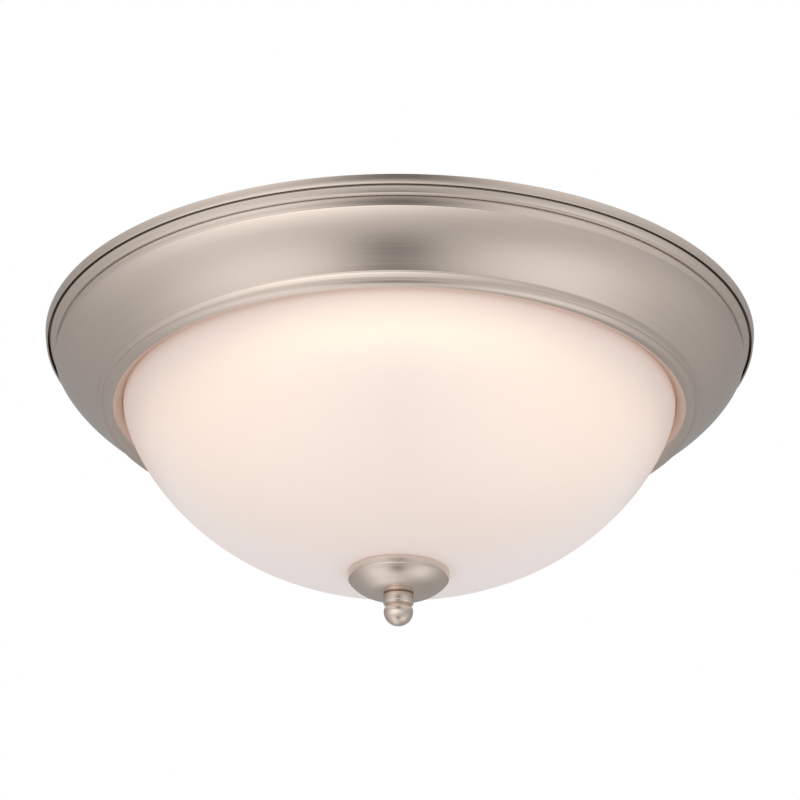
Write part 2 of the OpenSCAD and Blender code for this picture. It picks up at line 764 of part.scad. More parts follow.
module pan_earth_screw() {
    color("seagreen") lamp_frame(0) translate([earth_screw_u, -earth_nut_v, plate_top + bare_d / 2]) {
        translate([0, 0, -sheet_t - bare_d / 2 - hang_tip])
            cylinder(d = hang_d, h = sheet_t + bare_d / 2 + hang_tip);
        rotate([180, 0, 0]) screw_head();
    }
}

module bulb_dome(i) {
    color("white") socket_frame(i) translate([0, 0, dome_s]) rotate_extrude() difference() {
        circle(r = bulb_r);
        circle(r = bulb_r - bulb_t);
        translate([-bulb_d, -bulb_r]) square([bulb_d, bulb_d]);
        translate([0, -bulb_d]) square([bulb_d, bulb_d - dome_skirt]);
    }
}

module bulb_board(i) {
    color("lightyellow") socket_frame(i) translate([0, 0, dome_foot_s - board_t])
        cylinder(r = dome_foot_r - bulb_t - base_gap, h = board_t);
}

// Moulded housing, from its neck inside the base to the rim that carries the dome
module bulb_housing(i) {
    neck = base_r - thread_h - base_t;
    wide = base_r + thread_h / 2;
    outer = arc([wide, mouth_s + bulb_t], [dome_foot_r, dome_foot_s], -housing_sag, coarse);
    inner = arc([wide - bulb_t, mouth_s + 2 * bulb_t],
                [dome_foot_r - bulb_t, dome_foot_s - board_t], -housing_sag, coarse);
    color("whitesmoke") socket_frame(i) rotate_extrude()
        polygon(concat(
            [[neck, collar_s], [neck, mouth_s]], outer,
            [[dome_foot_r - bulb_t, dome_foot_s]], reversed(inner),
            [[neck - bulb_t, mouth_s], [neck - bulb_t, collar_s]]));
}

module bulb_base(i) {
    outer = thread(base_r, base_s, thread_turns);
    inner = thread(base_r - base_t, base_s, thread_turns);
    flare = base_r - thread_h / 2;
    color("silver") socket_frame(i) rotate_extrude()
        polygon(concat(
            outer, [[flare, collar_s + base_lip], [flare, mouth_s - shell_gap]],
            [[flare - base_t, mouth_s - shell_gap], [flare - base_t, collar_s + base_lip]],
            reversed(inner)));
}

module bulb_insulator(i) {
    color("black") socket_frame(i) translate([0, 0, insulator_s])
        cylinder(r1 = button_d / 2 + insulator_rim, r2 = base_r - thread_h, h = insulator_h);
}

module bulb_button(i) {
    color("silver") socket_frame(i) translate([0, 0, button_s])
        cylinder(d1 = button_d - 2 * button_h, d2 = button_d, h = button_h);
}

module glass_bowl() {
    color("white") rotate_extrude()
        polygon(concat(
            [[bowl_r, edge_z]], bowl_side(0), reversed(bowl_side(bowl_t)),
            [[bowl_r - bowl_t, edge_z]]));
}

// Soft sleeve in the hole of the bowl, with a flange that rests on the glass inside
module bowl_grommet() {
    inside = bowl_point(bowl_angle(bowl_hole_d / 2 + grommet_rim, bowl_t), bowl_t)[1] + grommet_gap;
    sleeve = bowl_hole_d / 2 - grommet_gap;
    bottom = curve_z - bowl_h;
    color("beige") difference() {
        union() {
            translate([0, 0, bottom]) cylinder(r = sleeve, h = inside + grommet_flange - bottom);
            translate([0, 0, inside]) cylinder(r = sleeve + grommet_rim, h = grommet_flange);
        }
        translate([0, 0, bottom - cut])
            cylinder(r = rod_r + rod_gap, h = inside - bottom + grommet_flange + 2 * cut);
    }
}

// Shallow dish with an upright rim: its edge meets the glass and its flat carries the knob
module finial_cap() {
    foot_r = cap_r - cap_lean;
    foot_z = cap_top - cap_rim_h;
    flat_r = cap_flat_d / 2;
    hole_r = rod_r + rod_gap;
    color("silver") rotate_extrude()
        polygon(concat(
            [[cap_r, cap_top]],
            arc([foot_r, foot_z], [flat_r, cap_base], cap_bulge, fine),
            [[hole_r, cap_base], [hole_r, cap_base + cap_t]],
            reversed(arc([foot_r - cap_t, foot_z + cap_t / 2], [flat_r, cap_base + cap_t],
                         cap_bulge, fine)),
            [[cap_r - cap_t, cap_top]]));
}

// Turned knob: collar, groove and rounded end, with a blind threaded bore
module finial_knob() {
    collar_r = collar_d / 2;
    groove_at = knob_top - collar_h;
    groove_in_r = collar_r - groove_in;
    wide_z = groove_at - bullet_top;
    first = asin(bullet_top / bullet_h);
    color("silver") difference() {
        rotate_extrude()
            polygon(concat(
                [[0, knob_top], [groove_in_r, knob_top], [groove_in_r, knob_top - groove_in / 2],
                 [collar_r, knob_top - groove_in / 2], [collar_r, groove_at + groove_in],
                 [groove_in_r, groove_at]],
                [for (i = [0 : fine]) let (a = first - (first + 90) * i / fine)
                    [bullet_d / 2 * cos(a), wide_z + bullet_h * sin(a)]]));
        translate([0, 0, knob_top - knob_bore]) cylinder(r = rod_r + thread_gap, h = knob_bore + cut);
    }
}

mounting_strap();
hanging_screws();
earth_screw();
ceiling_pan();
insulation_pad();
center_rod();
rod_top_nut();
rod_bottom_nut();
rod_spring_washer();
lamp_bracket();
socket_screws();
socket(0);  // socket_right
socket(1);  // socket_left
screw_shell(0);  // screw_shell_right
screw_shell(1);  // screw_shell_left
spring_contact(0);  // spring_contact_right
spring_contact(1);  // spring_contact_left
wire_bushings();
black_leads();
white_leads();
earth_lead();
pan_earth_screw();
black_wire_nut();
white_wire_nut();
earth_wire_nut();
bulb_dome(0);  // bulb_dome_right
bulb_board(0);  // bulb_board_right
bulb_housing(0);  // bulb_housing_right
bulb_base(0);  // bulb_base_right
bulb_insulator(0);  // bulb_insulator_right
bulb_button(0);  // bulb_button_right
bulb_dome(1);  // bulb_dome_left
bulb_board(1);  // bulb_board_left
bulb_housing(1);  // bulb_housing_left
bulb_base(1);  // bulb_base_left
bulb_insulator(1);  // bulb_insulator_left
bulb_button(1);  // bulb_button_left
glass_bowl();
bowl_grommet();
finial_cap();
finial_knob();
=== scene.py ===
# %% [markdown]
# # A flush ceiling light with an opal glass bowl
#
# The real object is a stamped metal pan that screws to the ceiling, a bowl of satin opal glass
# that hides two bulbs, and a small cap and knob that hold the bowl on a threaded rod. Nearly every
# visible piece was spun or turned round one axis, so most of this lesson is about profiles that
# are swept round Z, and about the fine brushed lines that the tool leaves along the way.

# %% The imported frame
import json
import math

import bmesh
import bpy
import numpy as np
from mathutils import Matrix
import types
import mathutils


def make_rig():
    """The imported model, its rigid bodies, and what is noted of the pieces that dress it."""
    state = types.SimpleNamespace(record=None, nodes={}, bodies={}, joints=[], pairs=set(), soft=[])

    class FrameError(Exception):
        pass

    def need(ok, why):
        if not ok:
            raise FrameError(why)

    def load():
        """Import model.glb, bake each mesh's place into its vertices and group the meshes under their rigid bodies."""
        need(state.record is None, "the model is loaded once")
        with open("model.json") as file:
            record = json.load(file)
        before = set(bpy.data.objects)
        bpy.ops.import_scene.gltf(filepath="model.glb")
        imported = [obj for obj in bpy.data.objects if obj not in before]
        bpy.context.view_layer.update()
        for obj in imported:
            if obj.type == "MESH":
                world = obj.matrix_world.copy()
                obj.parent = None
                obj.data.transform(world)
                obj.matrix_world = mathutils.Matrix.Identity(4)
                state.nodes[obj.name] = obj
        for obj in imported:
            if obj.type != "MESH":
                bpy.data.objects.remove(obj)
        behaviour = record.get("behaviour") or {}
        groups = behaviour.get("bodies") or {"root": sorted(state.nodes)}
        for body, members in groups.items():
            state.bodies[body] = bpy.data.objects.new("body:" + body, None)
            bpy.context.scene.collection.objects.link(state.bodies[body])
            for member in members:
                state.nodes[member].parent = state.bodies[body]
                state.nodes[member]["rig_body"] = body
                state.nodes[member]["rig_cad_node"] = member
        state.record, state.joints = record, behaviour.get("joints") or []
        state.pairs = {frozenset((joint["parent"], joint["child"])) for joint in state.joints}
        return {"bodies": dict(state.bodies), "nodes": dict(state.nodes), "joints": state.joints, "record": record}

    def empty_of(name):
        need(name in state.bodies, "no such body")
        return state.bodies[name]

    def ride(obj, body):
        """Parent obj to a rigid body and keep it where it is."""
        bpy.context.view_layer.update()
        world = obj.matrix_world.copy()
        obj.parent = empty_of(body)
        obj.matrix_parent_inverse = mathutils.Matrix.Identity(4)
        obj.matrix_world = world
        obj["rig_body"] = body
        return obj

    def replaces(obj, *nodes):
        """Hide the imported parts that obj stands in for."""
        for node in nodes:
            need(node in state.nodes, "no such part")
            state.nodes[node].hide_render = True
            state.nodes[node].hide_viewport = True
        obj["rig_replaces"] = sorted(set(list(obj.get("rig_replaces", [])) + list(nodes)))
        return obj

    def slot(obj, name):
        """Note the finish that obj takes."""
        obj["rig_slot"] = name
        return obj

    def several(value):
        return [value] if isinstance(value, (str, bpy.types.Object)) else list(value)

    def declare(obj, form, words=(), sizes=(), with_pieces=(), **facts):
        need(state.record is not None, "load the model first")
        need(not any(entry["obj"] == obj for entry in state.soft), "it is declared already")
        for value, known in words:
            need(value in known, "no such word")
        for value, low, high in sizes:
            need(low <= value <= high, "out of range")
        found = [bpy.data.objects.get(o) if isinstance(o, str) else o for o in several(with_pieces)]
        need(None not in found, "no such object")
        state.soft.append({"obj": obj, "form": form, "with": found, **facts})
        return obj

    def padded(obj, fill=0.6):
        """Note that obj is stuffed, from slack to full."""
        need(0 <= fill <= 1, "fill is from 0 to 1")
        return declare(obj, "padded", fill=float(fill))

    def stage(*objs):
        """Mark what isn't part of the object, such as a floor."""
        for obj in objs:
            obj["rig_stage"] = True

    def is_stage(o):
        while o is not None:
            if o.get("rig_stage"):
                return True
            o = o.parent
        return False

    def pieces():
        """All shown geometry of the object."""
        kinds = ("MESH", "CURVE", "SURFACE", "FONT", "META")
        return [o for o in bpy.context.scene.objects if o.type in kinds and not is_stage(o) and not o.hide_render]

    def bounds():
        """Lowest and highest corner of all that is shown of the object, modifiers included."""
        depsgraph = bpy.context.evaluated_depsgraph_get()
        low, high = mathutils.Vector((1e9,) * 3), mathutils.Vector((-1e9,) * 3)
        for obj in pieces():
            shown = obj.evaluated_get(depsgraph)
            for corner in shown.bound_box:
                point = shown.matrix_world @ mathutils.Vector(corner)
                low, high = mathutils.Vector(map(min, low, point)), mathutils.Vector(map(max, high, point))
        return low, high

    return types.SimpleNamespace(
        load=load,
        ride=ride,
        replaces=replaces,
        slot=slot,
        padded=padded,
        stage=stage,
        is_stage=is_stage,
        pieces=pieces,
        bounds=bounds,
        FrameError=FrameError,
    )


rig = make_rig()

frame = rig.load()
nodes = frame["nodes"]
cad_box = [[float(v) for v in corner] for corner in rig.bounds()]
print("CAD box in metres:", cad_box)

# %% [markdown]
# ## The sizes
#
# Sizes are in millimetres, as the part's own source keeps them, and they become metres only when
# a mesh is made. The ceiling is the plane z = 0 and the light hangs below it.

# %% Sizes of the pan, the bowl, the cap and the knob
MM = 0.001
PAN_R = 165.0
SHEET = 0.9
LIP_H, LIP_LEAN, LIP_GAP = 3.7, 0.6, 1.3
BAND_W, BAND_H = 1.8, 2.3
RIB_W, RIB_H = 0.7, 0.8
STEP_W, LOW_RIB_H, STEP_H = 0.05, 3.6, 4.75
BODY_H, BEAD_W, BEAD_H = 18.8, 1.6, 3.15
ROLL_W, ROLL_RISE, SEAT_RISE, SEAT_W = 9.75, 1.3, 3.5, 10.8
PLATE_RISE = 6.7
BOWL_R, BOWL_T, BOWL_H, BOWL_EDGE = 127.4, 4.0, 77.6, 3.0
SIDE_POWER, BASE_POWER = 0.82, 1.46
BOWL_HOLE_R = 6.5
BOWL_GAP, SEAT_GAP = 0.6, 0.3
ROD_R = 3.175
CAP_R, CAP_T, CAP_H, CAP_RIM_H = 22.95, 1.0, 10.6, 3.7

LIP_FOOT_R = PAN_R - LIP_LEAN
NECK_R = LIP_FOOT_R - SHEET - LIP_GAP
BAND_R = NECK_R - BAND_W
RIB_R = BAND_R - RIB_W
SHOULDER_R = RIB_R + STEP_W
BAND_Z = -LIP_H - BAND_H
RIB_Z = BAND_Z - RIB_H
SHOULDER_Z = RIB_Z - STEP_H
BEAD_Z = SHOULDER_Z - BODY_H
GROOVE_Z = BEAD_Z - BEAD_H
ROLL_Z = GROOVE_Z + ROLL_RISE
SEAT_Z = ROLL_Z + SEAT_RISE
PLATE_Z = SEAT_Z + PLATE_RISE
PLATE_TOP = PLATE_Z + SHEET
ROLL_R = BOWL_R + BOWL_GAP
GROOVE_R = ROLL_R + ROLL_W
BEAD_R = GROOVE_R + BEAD_W
PLATE_R = ROLL_R - SEAT_W
CURVE_Z = SEAT_Z - SEAT_GAP - BOWL_EDGE
print(f"pan plate at z {PLATE_Z:.2f}, bowl curve from z {CURVE_Z:.2f} mm")

# %% [markdown]
# ## The camera
#
# The photograph was taken from a little below and straight in front. Its frame was solved from the
# ellipses of the pan: the camera looks up by 25 degrees from about a metre away.

# %% Camera
CAMERA_AT = np.array([0.0, -0.930996, -0.462074])
PITCH, YAW, ROLL = 0.44058, 0.00027, -0.0049
FOCAL_PIXELS, FRAME_PIXELS, SENSOR_MM = 2208.6, 800, 36.0


def camera_matrix(at, pitch, yaw, roll):
    """World matrix of a camera that looks along (sin yaw cos pitch, cos yaw cos pitch, sin pitch)."""
    ahead = np.array([math.sin(yaw) * math.cos(pitch), math.cos(yaw) * math.cos(pitch), math.sin(pitch)])
    right = np.array([math.cos(yaw), -math.sin(yaw), 0.0])
    up = np.cross(right, ahead)
    matrix = np.eye(4)
    matrix[:3, 0] = right * math.cos(roll) - up * math.sin(roll)
    matrix[:3, 1] = right * math.sin(roll) + up * math.cos(roll)
    matrix[:3, 2] = -ahead
    matrix[:3, 3] = at
    return matrix


camera_data = bpy.data.cameras.new("camera")
camera_data.sensor_width = SENSOR_MM
camera_data.lens = FOCAL_PIXELS * SENSOR_MM / FRAME_PIXELS
camera = bpy.data.objects.new("camera", camera_data)
bpy.context.collection.objects.link(camera)
camera.matrix_world = Matrix(camera_matrix(CAMERA_AT, PITCH, YAW, ROLL).tolist())
bpy.context.scene.camera = camera
print(f"lens {camera_data.lens:.2f} mm")

# %% [markdown]
# ## From arrays to meshes
#
# A turned piece is a profile (r, z) swept round Z, and a wire is a circle carried along a path.
# Both are grids of points worked out as whole arrays. One helper joins any such grid into faces,
# closes its seam by wrapping the column index, and merges the points that fall together on a pole.

# %% Grid to mesh
def grid_piece(name, points, body, material, close_rows=False, sharp=35.0, caps=False):
    """A mesh from points[row, column] in mm, closed round its columns, and over its rows or by caps."""
    rows, columns = points.shape[:2]
    index = np.arange(rows * columns).reshape(rows, columns)
    after = np.roll(index, -1, axis=1)
    below, below_after = np.roll(index, -1, axis=0), np.roll(after, -1, axis=0)
    quads = np.stack([index, after, below_after, below], axis=-1)
    quads = (quads if close_rows else quads[:-1]).reshape(-1, 4)
    faces = quads.tolist()
    if caps:
        faces += [index[0][::-1].tolist(), index[-1].tolist()]
    mesh = bpy.data.meshes.new(name)
    mesh.from_pydata((points.reshape(-1, 3) * MM).tolist(), [], faces)
    clean(mesh)
    mesh.set_sharp_from_angle(angle=math.radians(sharp))
    return place(name, mesh, body, material)


def clean(mesh):
    """Merges the points that coincide, as on a pole, and turns every face outwards."""
    work = bmesh.new()
    work.from_mesh(mesh)
    bmesh.ops.remove_doubles(work, verts=work.verts, dist=1e-7)
    bmesh.ops.dissolve_degenerate(work, edges=work.edges, dist=1e-7)
    bmesh.ops.recalc_face_normals(work, faces=work.faces)
    for face in work.faces:
        face.smooth = True
    work.to_mesh(mesh)
    work.free()


def place(name, mesh, body, material):
    """Links the mesh as a piece with its material and lets it ride on its body."""
    piece = bpy.data.objects.new(name, mesh)
    bpy.context.collection.objects.link(piece)
    mesh.materials.append(material)
    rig.ride(piece, body)
    return piece


def turned(name, profile, body, material, steps=256, **options):
    """The closed outline (r, z) in mm swept round Z: x = r cos a, y = r sin a."""
    angle = np.linspace(0, 2 * np.pi, steps, endpoint=False)
    outline = np.asarray(profile, dtype=float)
    points = np.empty((len(outline), steps, 3))
    points[..., 0] = outline[:, :1] * np.cos(angle)
    points[..., 1] = outline[:, :1] * np.sin(angle)
    points[..., 2] = outline[:, 1:]
    return grid_piece(name, points, body, material, close_rows=True, **options)


# %% [markdown]
# ## Profiles
#
# Sheet metal never has a knife edge: where a stamping die folds it, the corner keeps a radius of
# about half the sheet. Those little radii catch the light as thin bright lines, so every corner of
# a profile gets one. Long sweeps are Bezier curves, and beads are arcs with a given bulge.

# %% Profile helpers
def arc(start, end, bulge, steps=12):
    """Round arc from start to end that bulges to the left of the way, by bulge at its middle."""
    start, end = np.array(start, dtype=float), np.array(end, dtype=float)
    chord = end - start
    length = np.hypot(*chord)
    half = 2 * np.arctan(2 * bulge / length)
    radius = length / (2 * np.sin(half))
    along, across = chord / length, np.array([-chord[1], chord[0]]) / length
    turn = np.linspace(-half, half, steps + 1)[:, None]
    forward = along * (length / 2 + radius * np.sin(turn))
    return start + forward + across * radius * (np.cos(turn) - np.cos(half))


def bezier(controls, steps=48):
    """Cubic Bezier curve: the four controls weighted by s^3, 3s^2 t, 3s t^2 and t^3."""
    t = np.linspace(0, 1, steps + 1)[:, None]
    s = 1 - t
    weights = (s**3, 3 * s * s * t, 3 * s * t * t, t**3)
    return sum(weight * np.array(point, dtype=float) for weight, point in zip(weights, controls))


def softened(outline, radius=0.3, limit=25.0, steps=4, most=0.45):
    """Rounds each corner sharper than limit with a quadratic curve that starts radius before it, or
    most of the way along a short edge."""
    outline = np.asarray(outline, dtype=float)
    before, after = outline - np.roll(outline, 1, axis=0), np.roll(outline, -1, axis=0) - outline
    back, ahead = np.hypot(*before.T), np.hypot(*after.T)
    cosine = (before * after).sum(1) / np.maximum(back * ahead, 1e-9)
    corner = cosine < np.cos(np.radians(limit))
    reach = np.minimum(radius, most * np.minimum(back, ahead))[:, None]
    first = outline - before / np.maximum(back, 1e-9)[:, None] * reach
    last = outline + after / np.maximum(ahead, 1e-9)[:, None] * reach
    t = np.linspace(0, 1, steps + 1)[None, :, None]
    rounded = (1 - t) ** 2 * first[:, None] + 2 * t * (1 - t) * outline[:, None] + t * t * last[:, None]
    kept = np.where(corner[:, None, None], rounded, outline[:, None])
    keep = np.ones(kept.shape[:2], dtype=bool)
    keep[~corner, 1:] = False
    return kept[keep]


def offset(curve, distance):
    """The curve moved sideways by distance, to the left of the way."""
    way = np.gradient(curve, axis=0)
    way /= np.hypot(*way.T)[:, None]
    return curve + distance * np.stack([-way[:, 1], way[:, 0]], axis=1)


# %% [markdown]
# ## Finishes
#
# A finish is a Principled BSDF whose even values are typed into its own sockets, while everything
# that changes over the surface comes from node groups. Each group is one physical effect: the
# rings that a brush leaves on a spinning part, the fine grain of a moulding or a paint, the ridges
# of a thread, and felted fibres. They all read Object coordinates, so the pattern sits still on
# the piece.

# %% Node helpers
def add(tree, kind, inputs=(), **settings):
    """A new node: settings are its own properties, and inputs go from a socket to a value or an output."""
    made = tree.nodes.new(kind)
    for key, value in settings.items():
        setattr(made, key, value)
    for socket, value in dict(inputs).items():
        if isinstance(value, bpy.types.NodeSocket):
            tree.links.new(value, made.inputs[socket])
        else:
            made.inputs[socket].default_value = value
    return made


def calc(tree, operation, *values):
    """One step of arithmetic on numbers and outputs."""
    return add(tree, "ShaderNodeMath", enumerate(values), operation=operation).outputs[0]


def calc_vector(tree, operation, first, second):
    """One step of arithmetic on two places or directions."""
    return add(tree, "ShaderNodeVectorMath", {0: first, 1: second}, operation=operation).outputs[0]


def noise(tree, where, scale, detail):
    """Soft noise with about scale waves to the metre: the value and the colour."""
    return add(tree, "ShaderNodeTexNoise", {"Vector": where, "Scale": scale, "Detail": detail}).outputs


def split(tree, where):
    """The x, y and z of a place."""
    return add(tree, "ShaderNodeSeparateXYZ", {0: where}).outputs


def squared_radius(tree, axes):
    """x^2 + y^2"""
    squares = [calc(tree, "MULTIPLY", axes[axis], axes[axis]) for axis in (0, 1)]
    return calc(tree, "ADD", *squares)


def blend_colours(tree, share, first, second):
    """first where share is 0 and second where it is 1."""
    given = {"Factor": share, "A": first, "B": second}
    made = add(tree, "ShaderNodeMix", data_type="RGBA")
    for socket in made.inputs:
        value = given.get(socket.name) if socket.enabled else None
        if isinstance(value, bpy.types.NodeSocket):
            tree.links.new(value, socket)
        elif value is not None:
            socket.default_value = (*value, 1)
    return next(socket for socket in made.outputs if socket.enabled)


def new_group(name, inputs, outputs):
    """An empty shader node group with the named sockets: (group, its inputs, its outputs)."""
    group = bpy.data.node_groups.new(name, "ShaderNodeTree")
    for socket, value in inputs.items():
        kind = "NodeSocketVector" if value is None else "NodeSocketFloat"
        made = group.interface.new_socket(socket, in_out="INPUT", socket_type=kind)
        if value is not None:
            made.default_value = value
    for socket in outputs:
        group.interface.new_socket(socket, in_out="OUTPUT", socket_type="NodeSocketFloat")
    return group, group.nodes.new("NodeGroupInput").outputs, group.nodes.new("NodeGroupOutput").inputs


# %% Effect: brushed rings round the axis
# The tone varies over places that are 1 / share times wider than the lines or grains.
RING_TONE, GRAIN_TONE = 0.12, 0.08


def make_brushed_rings():
    """Noise that is fine along (radius, z) and long round the axis. The angle enters as its cosine
    and sine, the third and fourth dimension, so the rings close without a seam."""
    group, given, out = new_group(
        "brushed_rings", {"Vector": None, "Lines per metre": 4000.0, "Breaks": 2.0}, ["Height", "Tone"]
    )
    axes = split(group, given["Vector"])
    radius = calc(group, "MAXIMUM", calc(group, "SQRT", squared_radius(group, axes)), 1e-5)
    cosine = calc(group, "MULTIPLY", calc(group, "DIVIDE", axes[0], radius), given["Breaks"])
    sine = calc(group, "MULTIPLY", calc(group, "DIVIDE", axes[1], radius), given["Breaks"])
    for socket, share in (("Height", 1.0), ("Tone", RING_TONE)):
        lines = calc(group, "MULTIPLY", given["Lines per metre"], share)
        place_on_part = add(group, "ShaderNodeCombineXYZ", {
            0: calc(group, "MULTIPLY", radius, lines),
            1: calc(group, "MULTIPLY", axes[2], lines),
            2: cosine,
        }).outputs[0]
        rings = add(
            group, "ShaderNodeTexNoise",
            {"Vector": place_on_part, "W": sine, "Scale": 1.0, "Detail": 2.0}, noise_dimensions="4D"
        )
        group.links.new(rings.outputs[0], out[socket])
    return group


# %% Effect: fine grain of paint, plastic, ceramic and zinc
def make_fine_grain():
    """Soft noise twice: fine for the height and wider for the tone."""
    group, given, out = new_group(
        "fine_grain", {"Vector": None, "Grains per metre": 900.0}, ["Height", "Tone"]
    )
    for socket, share in (("Height", 1.0), ("Tone", GRAIN_TONE)):
        scale = calc(group, "MULTIPLY", given["Grains per metre"], share)
        group.links.new(noise(group, given["Vector"], scale, 3.0)[0], out[socket])
    return group


# %% Effect: ridges of a small thread
def make_thread_ridges():
    """A triangle wave along z with the thread's pitch: 0 at the roots and 1 at the crests."""
    group, given, out = new_group("thread_ridges", {"Vector": None, "Pitch": 0.0008}, ["Height"])
    part = calc(group, "FRACT", calc(group, "DIVIDE", split(group, given["Vector"])[2], given["Pitch"]))
    from_middle = calc(group, "ABSOLUTE", calc(group, "SUBTRACT", part, 0.5))
    group.links.new(calc(group, "MULTIPLY", from_middle, 2.0), out[0])
    return group


# %% Effect: felted fibres
# Each set of streaks is (its angle, the shares of the noise's fineness along x, y and z). A small
# share draws the noise out into long fibres.
STREAKS = [(0.5, (1.0, 0.07, 0.6)), (2.1, (1.0, 0.09, 0.8))]
BENDS_PER_METRE, BEND, CLUMPS_PER_METRE = 60.0, 0.012, 90.0
FELT_TONE, CLUMP_TONE, CLUMP_HEIGHT = 0.55, 0.45, 0.6


def make_felted_fibres():
    """Two sets of long thin streaks that cross, bent by a slow noise, as in a blanket of glass fibre."""
    group, given, out = new_group(
        "felted_fibres", {"Vector": None, "Fibres per metre": 1400.0}, ["Tone", "Height"]
    )
    here = given["Vector"]
    bend = calc_vector(group, "MULTIPLY", noise(group, here, BENDS_PER_METRE, 2.0)["Color"], [BEND] * 3)
    bent = calc_vector(group, "ADD", here, bend)
    streaks = []
    for angle, fineness in STREAKS:
        facing = {"Vector": bent, "Angle": angle}
        turned_on = add(group, "ShaderNodeVectorRotate", facing, rotation_type="Z_AXIS").outputs[0]
        drawn = calc_vector(group, "MULTIPLY", turned_on, fineness)
        streaks.append(noise(group, drawn, given["Fibres per metre"], 3.0)[0])
    clumps = noise(group, here, CLUMPS_PER_METRE, 4.0)[0]
    felt = calc(group, "MAXIMUM", *streaks)
    shares = [calc(group, "MULTIPLY", felt, FELT_TONE), calc(group, "MULTIPLY", clumps, CLUMP_TONE)]
    group.links.new(calc(group, "ADD", *shares), out["Tone"])
    group.links.new(calc(group, "ADD", felt, calc(group, "MULTIPLY", clumps, CLUMP_HEIGHT)), out["Height"])
    return group


# %% All effects
BRUSHED_RINGS, FINE_GRAIN = make_brushed_rings(), make_fine_grain()
THREAD_RIDGES, FELTED_FIBRES = make_thread_ridges(), make_felted_fibres()
print("effects:", [group.name for group in bpy.data.node_groups])

# %% [markdown]
# A finish joins one effect to a shader. The tone shifts the colour a little from place to place and
# spreads the roughness, and the height goes through a Bump node, whose distance is in metres, so
# that a scratch of a few micrometres stays a scratch at every zoom.

# %% Finish maker
TONE_LOW, TONE_HIGH = 0.3, 0.7


def finish(name, colour, roughness, effect, values, depth, spread=0.05, shade=0.06, **plain):
    """A Principled material. effect is the group that varies it, and plain are even socket values."""
    material = bpy.data.materials.new(name)
    material.use_nodes = True
    tree = material.node_tree
    bsdf = tree.nodes["Principled BSDF"]
    for socket, value in plain.items():
        bsdf.inputs[socket.replace("_", " ")].default_value = value
    here = add(tree, "ShaderNodeTexCoord").outputs["Object"]
    pattern = add(tree, "ShaderNodeGroup", {"Vector": here, **values}, node_tree=effect)
    tone = pattern.outputs.get("Tone") or pattern.outputs["Height"]
    darker, lighter = (tuple(c * k for c in colour) for k in (1 - shade, 1 + shade))
    tree.links.new(blend_colours(tree, tone, darker, lighter), bsdf.inputs["Base Color"])
    span = {0: tone, 1: TONE_LOW, 2: TONE_HIGH, 3: roughness - spread, 4: roughness + spread}
    tree.links.new(add(tree, "ShaderNodeMapRange", span).outputs[0], bsdf.inputs["Roughness"])
    bump = add(tree, "ShaderNodeBump", {"Distance": depth, "Height": pattern.outputs["Height"]})
    tree.links.new(bump.outputs[0], bsdf.inputs["Normal"])
    return material


def grained(name, colour, roughness, grains, **options):
    """A finish with so many grains to the metre."""
    return finish(name, colour, roughness, FINE_GRAIN, {"Grains per metre": grains}, **options)


def brushed(name, colour, roughness, lines, breaks, **options):
    """A metal that was brushed while it turned, with so many lines to the metre."""
    values = {"Lines per metre": lines, "Breaks": breaks}
    return finish(name, colour, roughness, BRUSHED_RINGS, values, Metallic=1.0, **options)


def ridged(name, colour, roughness, pitch, **options):
    """A finish with the ridges of a small thread, whose pitch is in metres."""
    return finish(name, colour, roughness, THREAD_RIDGES, {"Pitch": pitch}, **options)


# %% [markdown]
# ## Satin nickel
#
# The visible metal is steel, nickel plated and brushed while it turned. It is warm grey and has
# soft reflections that are a little wider across the brush lines. The same finish goes on the pan,
# the cap and the knob, with finer lines on the two small parts.

# %% Metals
NICKEL, ZINC = (0.74, 0.635, 0.56), (0.62, 0.63, 0.64)
SCREW_PITCH = 0.0008
pan_nickel = brushed("satin_nickel_pan", NICKEL, 0.2, 5000.0, 1.5, depth=3e-6, spread=0.03, shade=0.03)
trim_nickel = brushed("satin_nickel_trim", NICKEL, 0.25, 9000.0, 1.0, depth=2e-6, spread=0.03, shade=0.03)
aluminium = brushed("bulb_aluminium", (0.8, 0.8, 0.8), 0.25, 3000.0, 3.0, depth=3e-6, shade=0.04)
zinc = grained("bright_zinc", ZINC, 0.3, 700.0, depth=8e-6, spread=0.08, shade=0.1, Metallic=1.0)
zinc_thread = ridged("zinc_thread", ZINC, 0.3, SCREW_PITCH, depth=3e-4, shade=0.12, Metallic=1.0)
brass = grained(
    "plain_brass", (0.78, 0.56, 0.25), 0.28, 900.0, depth=4e-6, spread=0.08, shade=0.08, Metallic=1.0
)
copper = grained(
    "bare_copper", (0.72, 0.36, 0.22), 0.28, 1200.0, depth=4e-6, spread=0.08, shade=0.1, Metallic=1.0
)
print("metals ready")

# %% Painted shade in the pan's recess
# Painted shade: the colour is darkened in the narrow recess behind the lip and at the band's top.
RECESS_IN, RECESS_OUT, RECESS_LOW = NECK_R - 0.8, LIP_FOOT_R - SHEET + 0.1, -LIP_H - 0.4
RECESS_SHADE_SHARE = 0.25


def painted_shade_ring(material, inner, outer, top, bottom, share):
    """Painted shade: keeps only a share of the colour where inner < radius < outer and bottom < z < top, in mm."""
    tree = material.node_tree
    bsdf = tree.nodes["Principled BSDF"]
    axes = split(tree, add(tree, "ShaderNodeTexCoord").outputs["Object"])
    across = (squared_radius(tree, axes), (inner * MM) ** 2, (outer * MM) ** 2)
    inside = 1.0
    for value, low, high in (across, (axes[2], bottom * MM, top * MM)):
        for operation, limit in (("GREATER_THAN", low), ("LESS_THAN", high)):
            inside = calc(tree, "MULTIPLY", inside, calc(tree, operation, value, limit))
    plain = bsdf.inputs["Base Color"].links[0].from_socket
    # The painted shade is a darker copy of the nickel's colour.
    dark = tuple(c * share for c in NICKEL)
    tree.links.new(blend_colours(tree, inside, plain, dark), bsdf.inputs["Base Color"])


painted_shade_ring(pan_nickel, RECESS_IN, RECESS_OUT, 0.0, RECESS_LOW, RECESS_SHADE_SHARE)
print("recess darkened")

